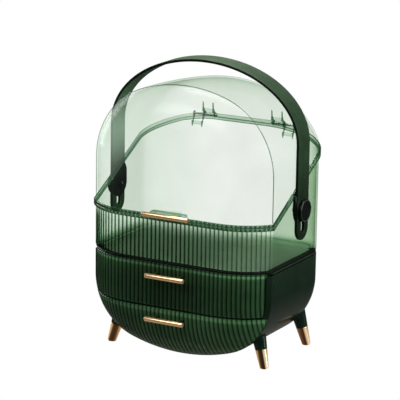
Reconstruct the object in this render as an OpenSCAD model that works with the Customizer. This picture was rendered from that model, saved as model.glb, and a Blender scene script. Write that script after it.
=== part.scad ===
// Egg-shaped cosmetics organizer: two drawers in a footed base, a clear cabin
// with a hinged hood lid, and a carry handle that slides and swings.
// Units are millimetres. X is the width, Y runs to the back, Z is up.
// The origin is on the floor, in the middle of the footprint.

/* [Body] */
// Half of the outside width
half_w = 140; // [136:1:144]
// Y of the flat middle of the front
front_y = -98; // [-99:0.5:-97]
// Y of the rear wall
rear_y = 106; // [105:0.5:107]
// Radius of the two upright rear corners
rear_r = 44; // [38:1:48]
// Radius of the curved wings of the front
wing_r = 82.27; // [80:0.5:90]
// Half length of the flat middle of the front
flat_half = 72.57; // [70:0.5:74]
// Wall of the dark base casing
casing_t = 3.2; // [2.6:0.1:3.6]
// Wall of the clear cabin and lid
clear_t = 2.6; // [2.2:0.1:3]

/* [Heights] */
// Lowest point of the egg outline
bottom_z = 6.6; // [5:0.2:9]
// Highest point of the egg outline
top_z = 387.5; // [386:0.5:389]
// Underside of the clear cabin
cabin_z = 146; // [145:0.5:148]
// Front rim where the lid meets the cabin
rim_front_z = 205; // [203:0.5:207]
// Rear rim at the hinges
rim_rear_z = 308.5; // [308:0.5:309.5]
// Rise of the side rim for each mm of depth
rim_slope = 0.58; // [0.57:0.005:0.59]
// Line between the two drawers
drawer_split_z = 78.4; // [77:0.2:82]

/* [Lid and hinge] */
// How far the rim lips stand out from the wall
lip_out = 2.8; // [2:0.1:3]
// Height of each rim lip
lip_h = 4.2; // [3.5:0.1:5]
// Y of the hinge axis
hinge_y = 112.5; // [112.5:0.1:113]
// Radius of the hinge pins
hinge_pin_r = 1.5; // [1.2:0.1:1.8]

/* [Handle] */
// Width of the strap, front to back
strap_w = 34; // [30:1:35]
// Thickness of the strap
strap_t = 4; // [3.6:0.1:4]
// Height of the strap's outer face above the floor
handle_z = 413.9; // [412:0.5:420]
// Y of the handle's pivots
pivot_y = 8; // [6:0.5:10]
// Height of the handle's pivots
pivot_z = 217; // [215:0.5:219]
// How far the strap slides up in its keepers
lift = 26; // [15:1:26]

/* [Legs] */
// X of each foot on the floor
foot_x = 122.95; // [118:0.5:126]
// Y of the front feet
foot_front_y = -45.5; // [-50:0.5:-40]
// Y of the rear feet
foot_rear_y = 84; // [78:0.5:86]
// Radius of the foot
foot_r = 6; // [5:0.2:7]

/* [Pulls] */
// Radius of the gilt pull bars
bar_r = 3.4; // [3:0.1:3.8]
// Length of the drawer bars
bar_l = 60; // [50:1:70]
// Length of the lid bar
lid_bar_l = 72; // [64:1:80]

/* [Hidden] */
$fn = 96;

// egg outline: lower shoulder and belly arcs, upper shoulder and crown arcs
low_r = 89.3; low_z = 103.9;
up_r = 110.58; up_z = 271.85;
function big_r(w, r, b) = ((w - r) * (w - r) + b * b - r * r) / (2 * (b - r));
belly_r = big_r(half_w, low_r, low_z - bottom_z);
crown_r = big_r(half_w, up_r, top_z - up_z);
up_a = atan2(up_z - (top_z - crown_r), half_w - up_r);
low_a = atan2(bottom_z + belly_r - low_z, half_w - low_r);
// front wings
wing_y = front_y + wing_r;
edge_reach = half_w - flat_half;
function wing_end(i) = asin((edge_reach - i) / (wing_r - i));
edge_y = wing_y - wing_r * cos(wing_end(0));
// roof of the lid, seen from the side
roof_r = 45; roof_z = 334;
ridge_r = big_r(rear_y - edge_y, roof_r, top_z - roof_z);
roof_turn_y = edge_y + ridge_r * (rear_y - roof_r - edge_y) / (ridge_r - roof_r);
rear_c = rear_y - rear_r;
// turn-under radii at the rear and front of the base
tail_r = 40;
nose_r = 80;
nose_z = bottom_z + sqrt(nose_r * nose_r - pow(edge_y - front_y - nose_r, 2));
gap = 0.2;
deck_z = 138.4;
mid_front_top = 142;
hinge_z = rim_rear_z;
sway = 0.27;
toe = 0.09;
tip_h = 26.5;
bar_y = front_y - 14.6;

// ---- stations round the right half of the plan: [kind, position] ----
// kind 0 runs along the front wing, 1 along the side, 2 round the rear corner, 3 along the rear

STATIONS = concat(
  [for (k = [0 : 7]) [0, k / 7]],
  [for (k = [1 : 8]) [1, edge_y + (rear_c - edge_y) * k / 8]],
  [for (k = [1 : 10]) [2, 9 * k]],
  [for (k = [1 : 4]) [3, k / 4]]);
// plan position of a station, a distance i inside the wall's outer face
function st_x(s, i) = s[0] == 0 ? flat_half + (wing_r - i) * sin(s[1] * wing_end(i))
  : s[0] == 1 ? half_w - i
  : s[0] == 2 ? half_w - rear_r + (rear_r - i) * cos(s[1]) : (half_w - rear_r) * (1 - 0.52 * s[1]);
function st_y(s, i) = s[0] == 0 ? wing_y - (wing_r - i) * cos(s[1] * wing_end(i))
  : s[0] == 1 ? s[1]
  : s[0] == 2 ? rear_c + (rear_r - i) * sin(s[1]) : rear_y - i;
// plan outline through the stations, both halves
function station_outline(i) = concat([for (s = STATIONS) [st_x(s, i), st_y(s, i)]],
  [for (j = [len(STATIONS) - 1 : -1 : 0]) [-st_x(STATIONS[j], i), st_y(STATIONS[j], i)]]);
// height of the rim where lid and cabin part
rim_turn_z = rim_front_z + rim_slope * (rear_c - edge_y);
rim_corner_z = rim_rear_z - 7.3;
function rim_z(s) = s[0] == 0 ? rim_front_z
  : s[0] == 1 ? rim_front_z + rim_slope * (s[1] - edge_y)
  : s[0] == 2 ? rim_turn_z + (rim_corner_z - rim_turn_z) * s[1] / 90
  : rim_corner_z + (rim_rear_z - rim_corner_z) * sin(90 * s[1]);

// closed band round the plan between insets i0 and i1; z runs from rim + dz0 to rim + dz1, or to the level top
module rim_band(i0, i1, dz0, dz1, top = 0) {
  m = len(STATIONS);
  right = [for (s = STATIONS) let (z0 = rim_z(s) + dz0, z1 = top > 0 ? top : rim_z(s) + dz1)
    [[st_x(s, i0), st_y(s, i0), z0], [st_x(s, i1), st_y(s, i1), z0], [st_x(s, i1), st_y(s, i1), z1], [st_x(s, i0), st_y(s, i0), z1]]];
  loops = concat(right, [for (j = [m - 1 : -1 : 0]) [for (p = right[j]) [-p[0], p[1], p[2]]]]);
  n = len(loops);
  polyhedron(points = [for (l = loops) each l], convexity = 10,
    faces = [for (j = [0 : n - 1], k = [0 : 3]) let (a = j * 4, b = ((j + 1) % n) * 4, k1 = (k + 1) % 4)
      each [[a + k, b + k1, b + k], [a + k, a + k1, b + k1]]]);
}

// ---- 2-D shapes, each drawn a distance i inside the outer one ----

module plan2d(i = 0) {
  intersection() {
    translate([-(half_w - i), front_y + i]) square([2 * (half_w - i), rear_y - front_y - 2 * i]);
    union() {
      translate([-flat_half, front_y + i]) square([2 * flat_half, rear_y - front_y - 2 * i]);
      for (s = [-1, 1]) translate([s * flat_half, wing_y]) circle(r = wing_r - i);
      translate([-(half_w - i), wing_y]) square([2 * (half_w - i), rear_c - wing_y]);
      for (s = [-1, 1]) translate([s * (half_w - rear_r), rear_c]) circle(r = rear_r - i);
      translate([-(half_w - rear_r), 0]) square([2 * (half_w - rear_r), rear_y - i]);
    }
  }
}

// lower half of the egg, up to height top
function belly_right(i) = concat(
  [for (k = [0 : 12]) let (a = -low_a * k / 12) [half_w - low_r + (low_r - i) * cos(a), low_z + (low_r - i) * sin(a)]],
  [for (k = [1 : 5]) let (a = -low_a - (90 - low_a) * k / 5) [(belly_r - i) * cos(a), bottom_z + belly_r + (belly_r - i) * sin(a)]]);
module belly2d(i = 0, top = 138.4) {
  r = belly_right(i);
  n = len(r);
  difference() {
    polygon(concat([[half_w - i, 160]], r, [for (k = [n - 2 : -1 : 0]) [-r[k][0], r[k][1]]], [[-(half_w - i), 160]]));
    translate([-400, top]) square([800, 400]);
  }
}

// side view of the base: the front and rear turn under at the bottom
nose_a = acos((nose_r + front_y - edge_y - 2) / nose_r);
module keel2d(i = 0) {
  polygon(concat(
    [[rear_y - i, 160]],
    [for (k = [0 : 9]) let (a = -10 * k) [rear_y - tail_r + (tail_r - i) * cos(a), bottom_z + tail_r - 0.4 + (tail_r - i) * sin(a)]],
    [[rear_y - tail_r - 1, bottom_z - 8], [edge_y + 3, bottom_z - 8]],
    [for (k = [8 : -1 : 0]) let (a = nose_a * k / 8) [front_y + nose_r - (nose_r - i) * cos(a), nose_z - (nose_r - i) * sin(a)]],
    [[front_y + i, 160]]));
}

module along_y(y0, y1) { translate([0, y1, 0]) rotate([90, 0, 0]) linear_extrude(y1 - y0) children(); }
module along_x(x0, x1) { translate([x0, 0, 0]) rotate([90, 0, 90]) linear_extrude(x1 - x0) children(); }

// solid egg base, i inside the outer surface
module base_solid(i = 0, top = 138.4) {
  intersection() {
    along_y(front_y - 5, rear_y + 5) belly2d(i, top);
    linear_extrude(top + 1) plan2d(i);
    along_x(-half_w - 5, half_w + 5) keel2d(i);
  }
}

// ---- base ----

module base_casing() {
  color([0.05, 0.16, 0.10])
  difference() {
    intersection() {
      base_solid(0);
      translate([-200, edge_y - 7.7, 0]) cube([400, 400, 400]);
    }
    intersection() {
      base_solid(casing_t, 139.4);
      translate([-200, -58, 0]) cube([400, 400, 400]);
    }
    along_y(front_y - 10, -57.9) belly2d(5.2, 139.4);
    translate([-200, edge_y - 60.3, -10]) cube([400, 60, drawer_split_z + 9.4]);
    for (sx = [-1, 1], ry = [0, 1]) leg_axis(sx, ry) translate([0, 0, 30]) cylinder(r = 2.5, h = 28);
  }
}

module deck() {
  color([0.05, 0.17, 0.11])
  difference() {
    union() {
      translate([0, 0, deck_z]) linear_extrude(6.8) {
        plan2d(5.5);
        intersection() {
          plan2d(0.6);
          translate([-200, edge_y + 2]) square([400, 400]);
        }
      }
      translate([0, 0, deck_z + 6]) linear_extrude(cabin_z - deck_z - 6) plan2d(5.5);
    }
    translate([0, 0, deck_z + 2]) linear_extrude(20) difference() {
      plan2d(9.5);
      for (x = [-112, 112], y = [-44, 78]) translate([x, y]) circle(r = 6.5);
    }
    for (x = [-112, 112], y = [-44, 78]) translate([x, y, deck_z - 1]) cylinder(r = 1.95, h = 10);
  }
}

module divider_shelf() {
  color([0.05, 0.14, 0.09])
  intersection() {
    translate([0, 0, 79]) linear_extrude(2.4) intersection() {
      plan2d(casing_t + 0.15);
      translate([-200, -56]) square([400, 400]);
    }
    along_y(-60, rear_y) belly2d(casing_t + 0.15);
  }
}

module shelf_rails() {
  color([0.07, 0.18, 0.12])
  for (s = [-1, 1]) translate([s * 100 - 4, -55, 81.45]) cube([8, 145, 2.2]);
}

module bottom_rails() {
  color([0.07, 0.18, 0.12])
  for (s = [-1, 1]) intersection() {
    along_y(-55, 55) difference() { belly2d(casing_t + 0.1); belly2d(8.9, 150); }
    translate([s * 45 - 5, -60, 0]) cube([10, 200, 60]);
  }
}

// ---- legs: each one leans out towards its foot ----

module leg_axis(sx, rear) {
  y = rear == 1 ? foot_rear_y : foot_front_y;
  sy = rear == 1 ? 1 : -1;
  translate([sx * foot_x, y, 0])
  rotate([atan(sy * toe), 0, 0]) rotate([0, -sx * atan(sway * cos(atan(toe))), 0])
  children();
}

module leg_upper(sx, rear) {
  color([0.05, 0.20, 0.13])
  difference() {
    leg_axis(sx, rear) translate([0, 0, tip_h + 0.1]) cylinder(r1 = foot_r + 2.35, r2 = foot_r + 5, h = 34);
    along_y(-90, 120) belly2d(-0.05);
    leg_axis(sx, rear) translate([0, 0, 30]) cylinder(r = 2.45, h = 60);
  }
}

module leg_tip(sx, rear) {
  color([0.80, 0.55, 0.38])
  difference() {
    leg_axis(sx, rear) translate([0, 0, -3]) cylinder(r1 = foot_r - 0.25, r2 = foot_r + 2.35, h = tip_h + 3);
    translate([-300, -300, -50]) cube([600, 600, 50]);
  }
}

module leg_front_left() { leg_upper(-1, 0); }
module leg_front_right() { leg_upper(1, 0); }
module leg_rear_left() { leg_upper(-1, 1); }
module leg_rear_right() { leg_upper(1, 1); }
module leg_tip_front_left() { leg_tip(-1, 0); }
module leg_tip_front_right() { leg_tip(1, 0); }
module leg_tip_rear_left() { leg_tip(-1, 1); }
module leg_tip_rear_right() { leg_tip(1, 1); }

module leg_screws() {
  color([0.55, 0.56, 0.58])
  for (sx = [-1, 1], ry = [0, 1]) leg_axis(sx, ry) {
    translate([0, 0, 31]) cylinder(r = 2.4, h = 16.2);
    translate([0, 0, 46.9]) cylinder(r = 3.5, h = 1.5);
  }
}

// ---- clear cabin ----

module cabin() {
  color([0.36, 0.66, 0.50, 0.45])
  difference() {
    union() {
      translate([0, 0, cabin_z]) linear_extrude(rim_rear_z - cabin_z + 1) polygon(station_outline(0));
      rim_band(clear_t / 2, -lip_out, -gap - lip_h, -gap);
    }
    translate([0, 0, cabin_z + clear_t]) linear_extrude(200) polygon(station_outline(clear_t));
    rim_band(clear_t + 2, -lip_out - 2, -gap, 0, rim_rear_z + 30);
    translate([-200, pivot_y, pivot_z]) rotate([0, 90, 0]) cylinder(r = 4.55, h = 400);
    for (x = [-112, 112], y = [-44, 78]) translate([x, y, cabin_z - 1]) cylinder(r = 1.95, h = 3);
  }
}

module cabin_screws() {
  color([0.55, 0.56, 0.58])
  for (x = [-112, 112], y = [-44, 78]) translate([x, y, 0]) {
    translate([0, 0, deck_z - 0.1]) cylinder(r = 1.9, h = cabin_z + 1.8 - deck_z);
    translate([0, 0, deck_z - 1.7]) cylinder(r = 3.6, h = 1.68);
  }
}

// one hinge leaf: a plate on the rear wall and two ears on the axis
module leaf(x0, ears, up) {
  q = rear_y;
  translate([x0 - 11, q + 0.05, up ? hinge_z + 4.7 : hinge_z - 15]) cube([22, 1.5, 6]);
  for (e = ears) difference() {
    along_x(e - 1.2, e + 1.2) {
      polygon(up
        ? [[q + 0.05, hinge_z + 4.7], [q + 0.05, hinge_z + 20], [q + 1.2, hinge_z + 20], [q + 4, hinge_z + 10], [hinge_y + 3.4, hinge_z + 1.2],
           [hinge_y, hinge_z], [q + 3.1, hinge_z + 1.2], [q + 3.1, hinge_z + 4.7]]
        : [[q + 0.05, hinge_z - 18], [q + 0.05, hinge_z - 9], [q + 3.2, hinge_z - 9], [q + 3.2, hinge_z - 1.2],
           [hinge_y, hinge_z], [hinge_y + 3.4, hinge_z - 1.2], [q + 4.6, hinge_z - 11], [q + 1.2, hinge_z - 18]]);
      translate([hinge_y, hinge_z]) circle(r = 3.6);
    }
    translate([e - 5, hinge_y, hinge_z]) rotate([0, 90, 0]) cylinder(r = hinge_pin_r + 0.05, h = 10);
  }
}

module cabin_hinge_brackets() {
  color([0.30, 0.58, 0.44, 0.6])
  for (s = [-1, 1]) leaf(s * 67.5, [s * 59, s * 76], false);
}

module lid_hinge_brackets() {
  color([0.36, 0.66, 0.50, 0.6])
  for (s = [-1, 1]) leaf(s * 56, [s * 47.5, s * 64.5], true);
}

module hinge_pins() {
  color([0.70, 0.71, 0.72])
  for (s = [-1, 1]) translate([0, hinge_y, hinge_z]) rotate([0, s * 90, 0]) {
    translate([0, 0, 45.9]) cylinder(r = hinge_pin_r, h = 32.5);
    translate([0, 0, 44.2]) cylinder(r = 2.6, h = 1.8);
  }
}

// ---- lid: one closed skin swept from the front plate to the rear wall ----

HALF = 12;
PTS = 2 * HALF + 3;
LOOP = 2 * PTS + 4;

function inset(s, i) = s[0] == 0 ? half_w - st_x(s, i) : i;
// fall of the roof below its front edge at depth y
roof_turn = (rear_y - roof_r - edge_y) / (ridge_r - roof_r);
function roof(y, i) = y <= edge_y ? top_z - i
  : y < edge_y + (ridge_r - i) * roof_turn ? top_z - ridge_r + sqrt(pow(ridge_r - i, 2) - pow(y - edge_y, 2))
  : roof_z + sqrt(max(0, pow(roof_r - i, 2) - pow(y - rear_y + roof_r, 2)));
// point of the egg outline, d inside it, at angle a
function crown(a, d) = a < up_a ? [half_w - up_r + (up_r - d) * cos(a), up_z + (up_r - d) * sin(a)]
  : [(crown_r - d) * cos(a), top_z - crown_r + (crown_r - d) * sin(a)];
function half_section(s, i, z0) = let (
    x = st_x(s, i), y = st_y(s, i), d = inset(s, i), fall = top_z - i - roof(y, i),
    a0 = x > half_w - d - 0.01 ? 0 : acos((x - half_w + up_r) / (up_r - d)))
  concat([[x, y, z0]], [for (k = [0 : HALF]) let (p = crown(a0 + (90 - a0) * k / HALF, d))
    [k == HALF ? 0 : p[0], y, max(p[1] - fall, z0 + 0.3 + 0.1 * k)]]);
function section(s, i, z0) = let (h = half_section(s, i, z0), n = len(h))
  concat(h, [for (k = [n - 2 : -1 : 0]) [-h[k][0], h[k][1], h[k][2]]]);
function lid_loop(s) = let (
    lx = st_x(s, -lip_out), ly = st_y(s, -lip_out), lz = rim_z(s) + gap,
    o = section(s, 0, lz + lip_h), n = section(s, clear_t, lz))
  concat(o, [[-lx, ly, lz + lip_h], [-lx, ly, lz]], [for (k = [len(n) - 1 : -1 : 0]) n[k]],
    [[lx, ly, lz], [lx, ly, lz + lip_h]]);

module lid_hood() {
  sweep = [for (s = STATIONS) if (s[0] < 3) s];
  m = len(sweep);
  pts = [for (s = sweep) each lid_loop(s)];
  sides = [for (j = [0 : m - 2], k = [0 : LOOP - 1]) let (k1 = (k + 1) % LOOP, a = j * LOOP, b = a + LOOP)
    each [[a + k, a + k1, b + k1], [a + k, b + k1, b + k]]];
  // four lines of points along the curved rear rim, right to left
  half = [for (s = STATIONS) if (s[0] == 3) [st_x(s, 0), rim_z(s) + gap]];
  rear = concat(half, [for (j = [len(half) - 1 : -1 : 0]) [-half[j][0], half[j][1]]]);
  nr = len(rear);
  rim = concat([for (p = rear) [p[0], rear_y, p[1] + lip_h]], [for (p = rear) [p[0], rear_y + lip_out, p[1] + lip_h]],
    [for (p = rear) [p[0], rear_y + lip_out, p[1]]], [for (p = rear) [p[0], rear_y - clear_t, p[1]]]);
  // plates and strips that close one end, at offset o; mid gives the points of line c between right and left
  function line(o, c, mid) = concat([c == 0 ? o : o + LOOP - c], mid[c], [o + PTS - 1 + c]);
  function cap(o, mid) = concat(
    [concat([for (k = [PTS - 1 : -1 : 0]) o + k], mid[0])],
    [for (c = [0 : 2]) let (u = line(o, c, mid), v = line(o, c + 1, mid)) for (j = [0 : len(u) - 2]) [u[j + 1], u[j], v[j], v[j + 1]]],
    [concat([for (k = [LOOP - 3 : -1 : PTS + 2]) o + k], [for (k = [len(mid[3]) - 1 : -1 : 0]) mid[3][k]])]);
  function flip(f) = [for (p = f) [for (k = [len(p) - 1 : -1 : 0]) p[k]]];
  color([0.62, 0.84, 0.72, 0.35])
  polyhedron(points = concat(pts, rim), faces = concat(sides, cap(0, [[], [], [], []]),
    flip(cap((m - 1) * LOOP, [for (c = [0 : 3]) [for (j = [0 : nr - 1]) m * LOOP + c * nr + j]]))), convexity = 10);
}

module pull_bar(l, y, z, r) {
  translate([-l / 2, y, z]) rotate([0, 90, 0]) rotate_extrude() difference() {
    square([r, l]);
    for (e = [0, 1]) translate([r, e * l]) rotate(45) square(0.8, center = true);
  }
}

module lid_pull_tab() {
  color([0.40, 0.68, 0.52, 0.6])
  difference() {
    translate([-27, front_y - 11, rim_front_z + gap + lip_h + 0.1]) cube([54, 10.95, 7.8]);
    for (s = [-1, 1]) translate([s * 20, front_y - 11.5, 213]) rotate([-90, 0, 0]) cylinder(r = 1.85, h = 6);
  }
}

module lid_pull_bar() {
  color([0.85, 0.60, 0.42])
  union() {
    pull_bar(lid_bar_l, bar_y, 213, bar_r);
    for (s = [-1, 1]) translate([s * 20, bar_y, 213]) rotate([-90, 0, 0]) cylinder(r = 1.8, h = 8.8);
  }
}

// ---- handle: keepers turn on the pivot pins and the strap slides in them ----

module on_side(s) { if (s > 0) children(); else mirror([1, 0, 0]) children(); }
module disc(x0, x1, r) { translate([x0, pivot_y, pivot_z]) rotate([0, 90, 0]) cylinder(r = r, h = x1 - x0); }

module pivot_bushes() {
  color([0.04, 0.10, 0.07])
  for (s = [-1, 1]) on_side(s) difference() {
    union() { disc(half_w + 0.05, half_w + 2.95, 11); disc(half_w - clear_t + 0.1, half_w + 1, 4.5); }
    disc(half_w - 10, half_w + 10, 3.1);
  }
}

module pivot_pin(s) {
  color([0.62, 0.63, 0.65])
  on_side(s) union() { disc(half_w - clear_t - 1.6, half_w - clear_t - 0.02, 7); disc(half_w - clear_t - 1, half_w + 12.6, 3); }
}

module button_cap(s) {
  color([0.03, 0.07, 0.05])
  on_side(s) difference() {
    translate([half_w + 11.5, pivot_y, pivot_z]) rotate([0, 90, 0]) rotate_extrude() difference() {
      square([16, 3]);
      translate([16, 3]) rotate(45) square(1.4, center = true);
    }
    disc(half_w + 11, half_w + 12.7, 3.05);
  }
}

// a pill-shaped plate with two rails for the strap's edges and a boss through the strap's slot
module keeper(s) {
  color([0.03, 0.08, 0.06])
  on_side(s) difference() {
    union() {
      difference() {
        along_x(half_w + 3.3, half_w + 7.4) union() {
          translate([pivot_y, pivot_z + 1]) circle(r = 20);
          translate([pivot_y, pivot_z + 14]) circle(r = 20);
          translate([pivot_y - 20, pivot_z + 1]) square([40, 13]);
        }
        translate([half_w + 4.8, pivot_y - strap_w / 2 - 0.35, pivot_z - 60]) cube([4.6, strap_w + 0.7, 160]);
      }
      disc(half_w + 4, half_w + 11.2, 4.5);
    }
    disc(half_w, half_w + 20, 3.1);
  }
}

module pivot_pin_left() { pivot_pin(-1); }
module pivot_pin_right() { pivot_pin(1); }
module button_cap_left() { button_cap(-1); }
module button_cap_right() { button_cap(1); }
module keeper_left() { keeper(-1); }
module keeper_right() { keeper(1); }

strap_x = half_w + 9.1;
arch_z = 309.4;
module handle_strap() {
  b = handle_z - arch_z;
  outer = [for (k = [0 : 60]) let (a = 3 * k) [strap_x * cos(a), arch_z + b * sin(a)]];
  inner = [for (k = [0 : 60]) let (a = 3 * k, n = [cos(a) / strap_x, sin(a) / b], m = norm(n))
    [strap_x * cos(a) - strap_t * n[0] / m, arch_z + b * sin(a) - strap_t * n[1] / m]];
  color([0.05, 0.17, 0.11])
  difference() {
    intersection() {
      along_y(pivot_y - strap_w / 2, pivot_y + strap_w / 2) polygon(concat(
        [[strap_x, 150]], outer, [[-strap_x, 150], [-strap_x + strap_t, 150]],
        [for (k = [60 : -1 : 0]) inner[k]], [[strap_x - strap_t, 150]]));
      along_x(-200, 200) union() {
        translate([pivot_y - 20, pivot_z - 25]) square([40, 300]);
        translate([pivot_y, pivot_z - 25]) circle(r = strap_w / 2);
      }
    }
    for (s = [-1, 1]) on_side(s) {
      disc(half_w, half_w + 20, 4.7);
      translate([0, 0, -lift - 0.4]) disc(half_w, half_w + 20, 4.7);
      translate([half_w, pivot_y - 4.7, pivot_z - lift - 0.4]) cube([20, 9.4, lift + 0.4]);
    }
  }
}

// ---- drawers ----

mid_bar_z = 126.4;
low_bar_z = 64.4;

// sunk is how far the face behind the bar lies behind the flat front
module drawer_bar(z, sunk) {
  color([0.85, 0.60, 0.42])
  difference() {
    union() {
      pull_bar(bar_l, bar_y, z, bar_r);
      for (s = [-1, 1]) translate([s * 20, bar_y, z]) rotate([-90, 0, 0]) cylinder(r = 3, h = front_y + sunk - 0.05 - bar_y);
    }
    for (s = [-1, 1]) translate([s * 20, bar_y + 2, z]) rotate([-90, 0, 0]) cylinder(r = 1.55, h = 30);
  }
}

module bar_screws(z, head_y) {
  color([0.55, 0.56, 0.58])
  for (s = [-1, 1]) translate([s * 20, 0, z]) rotate([-90, 0, 0]) {
    translate([0, 0, front_y - 9]) cylinder(r = 1.5, h = head_y - front_y + 9.05);
    translate([0, 0, head_y]) cylinder(r = 3, h = 1.8);
  }
}

module bar_holes(z, r) {
  for (s = [-1, 1]) translate([s * 20, front_y - 20, z]) rotate([-90, 0, 0]) cylinder(r = r, h = 40);
}

module middle_front() {
  color([0.06, 0.24, 0.15])
  difference() {
    intersection() {
      translate([0, 0, drawer_split_z + 1.2]) linear_extrude(mid_front_top - drawer_split_z - 1.2) difference() {
        plan2d(0);
        plan2d(3.2);
      }
      along_y(front_y - 5, -55) belly2d(6.2, 150);
    }
    bar_holes(mid_bar_z, 1.6);
  }
}

module middle_tray() {
  color([0.08, 0.26, 0.17])
  difference() {
    translate([0, 0, 83.8]) linear_extrude(52) intersection() {
      plan2d(3.7);
      translate([-130, -150]) square([260, 246]);
    }
    translate([0, 0, 85.8]) linear_extrude(60) intersection() {
      plan2d(5.7);
      translate([-128, -150]) square([256, 244]);
    }
    bar_holes(mid_bar_z, 1.6);
  }
}

module bottom_front() {
  color([0.06, 0.24, 0.15])
  difference() {
    intersection() {
      along_y(front_y - 5, edge_y - 0.8) belly2d(0.5, drawer_split_z - 1);
      linear_extrude(100) plan2d(0);
      along_x(-200, 200) keel2d(0);
    }
    intersection() {
      linear_extrude(100) plan2d(3.2);
      along_x(-200, 200) keel2d(3.2);
    }
    bar_holes(low_bar_z, 1.6);
  }
}

module bottom_tray() {
  color([0.08, 0.26, 0.17])
  difference() {
    intersection() {
      along_y(front_y - 5, 96) belly2d(9.2, 76);
      linear_extrude(100) plan2d(3.7);
      along_x(-200, 200) keel2d(3.7);
    }
    intersection() {
      along_y(front_y - 5, 94) belly2d(11.2, 90);
      linear_extrude(100) plan2d(5.7);
      along_x(-200, 200) keel2d(5.7);
    }
    bar_holes(low_bar_z, 1.6);
  }
}

module middle_pull_bar() { drawer_bar(mid_bar_z, 0); }
module middle_pull_screws() { bar_screws(mid_bar_z, front_y + 5.85); }
module bottom_pull_bar() { drawer_bar(low_bar_z, 0.5); }
module bottom_pull_screws() { bar_screws(low_bar_z, front_y + 7.3); }

base_casing();
deck();
divider_shelf();
shelf_rails();
bottom_rails();
cabin();
cabin_screws();
cabin_hinge_brackets();
hinge_pins();
pivot_bushes();
pivot_pin_left();
pivot_pin_right();
button_cap_left();
button_cap_right();
leg_front_left();
leg_front_right();
leg_rear_left();
leg_rear_right();
leg_tip_front_left();
leg_tip_front_right();
leg_tip_rear_left();
leg_tip_rear_right();
leg_screws();
lid_hood();
lid_hinge_brackets();
lid_pull_tab();
lid_pull_bar();
keeper_left();
keeper_right();
handle_strap();
middle_tray();
middle_front();
middle_pull_bar();
middle_pull_screws();
bottom_tray();
bottom_front();
bottom_pull_bar();
bottom_pull_screws();
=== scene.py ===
import bpy, bmesh
import numpy as np
from math import sin, cos, tan, asin, acos, atan, atan2, sqrt, radians, degrees, pi
from mathutils import Matrix, Vector


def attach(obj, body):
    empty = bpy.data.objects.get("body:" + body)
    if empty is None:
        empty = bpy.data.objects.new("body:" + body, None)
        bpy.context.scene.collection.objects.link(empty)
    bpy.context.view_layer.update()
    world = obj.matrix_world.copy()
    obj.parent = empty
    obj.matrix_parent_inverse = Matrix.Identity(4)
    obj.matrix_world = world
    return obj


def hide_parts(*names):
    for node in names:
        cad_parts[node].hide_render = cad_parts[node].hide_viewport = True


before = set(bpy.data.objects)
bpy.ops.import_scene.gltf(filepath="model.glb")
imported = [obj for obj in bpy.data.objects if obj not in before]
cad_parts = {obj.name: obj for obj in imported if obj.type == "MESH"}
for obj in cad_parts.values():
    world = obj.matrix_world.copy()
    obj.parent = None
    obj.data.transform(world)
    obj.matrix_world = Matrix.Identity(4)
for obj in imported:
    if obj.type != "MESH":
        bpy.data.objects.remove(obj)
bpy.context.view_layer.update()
scene = bpy.context.scene

# ------------------------------------------------------------------ camera
AZ, EL, ROLL = radians(28.823), radians(14.0545), radians(0.882)
FPX, DIST, LX, LZ = 2397.46, 3.35126, -0.0067912, 0.2130788
back = Vector((sin(AZ) * cos(EL), -cos(AZ) * cos(EL), sin(EL)))
right = Vector((cos(AZ), sin(AZ), 0))
up = back.cross(right)
r2 = right * cos(ROLL) + up * sin(ROLL)
u2 = -right * sin(ROLL) + up * cos(ROLL)
loc = Vector((0, 0, LZ)) + right * LX + back * DIST
cam_data = bpy.data.cameras.new("camera")
cam_data.sensor_width = 36.0
cam_data.lens = FPX * 36.0 / 400.0
cam_data.clip_end = 50.0
cam = bpy.data.objects.new("camera", cam_data)
scene.collection.objects.link(cam)
m = Matrix.Identity(4)
for i in range(3):
    m[i][0], m[i][1], m[i][2], m[i][3] = r2[i], u2[i], back[i], loc[i]
cam.matrix_world = m
scene.camera = cam

# ------------------------------------------------------------------ dimensions, mm, as the CAD
HW, FY, RY, RR = 140.0, -98.0, 106.0, 44.0
WR, FH = 82.27, 72.57
WY = FY + WR
REACH = HW - FH
TH1 = asin(REACH / WR)
EY = WY - WR * cos(TH1)
BZ, TZ, CZ = 6.6, 387.5, 146.0
LR, LCZ, UR, UCZ = 89.3, 103.9, 110.58, 271.85
def big_r(w, r, b): return ((w - r) ** 2 + b * b - r * r) / (2 * (b - r))
BR = big_r(HW, LR, LCZ - BZ)
CR = big_r(HW, UR, TZ - UCZ)
BCZ, CCZ = BZ + BR, TZ - CR
RC = RY - RR
RIMF, RIMR, SLOPE = 207.0, 308.5, 0.564
GAP, LIP, LIPH = 0.2, 2.8, 4.2
ROOF_R, ROOF_Z = 45.0, 334.0
RIDGE = big_r(RY - EY, ROOF_R, TZ - ROOF_Z)
TURN = (RY - ROOF_R - EY) / (RIDGE - ROOF_R)
PITCH = 6.554
SPLIT = 78.4
BARY = FY - 14.6

def roof(y, i=0.0):
    if y <= EY: return TZ - i
    if y < EY + (RIDGE - i) * TURN: return TZ - RIDGE + sqrt((RIDGE - i) ** 2 - (y - EY) ** 2)
    return ROOF_Z + sqrt(max(0.0, (ROOF_R - i) ** 2 - (y - RY + ROOF_R) ** 2))

def low_d(x, z):
    "how far inside the egg outline a point of the lower half is"
    x = abs(x)
    if z >= LCZ: return HW - x
    if x * (BCZ - LCZ) < (HW - LR) * (BCZ - z): return BR - sqrt(x * x + (z - BCZ) ** 2)
    if x < HW - LR: return LR + (z - LCZ)
    return LR - sqrt((x - HW + LR) ** 2 + (z - LCZ) ** 2)

def low_z(x, d):
    "height of the belly line inset by d, below x"
    x = abs(x)
    c = HW - LR
    a = atan2(c, BCZ - LCZ)
    if x < (BR - d) * sin(a): return BCZ - sqrt((BR - d) ** 2 - x * x)
    return LCZ - sqrt(max(0.0, (LR - d) ** 2 - (x - c) ** 2))

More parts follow.
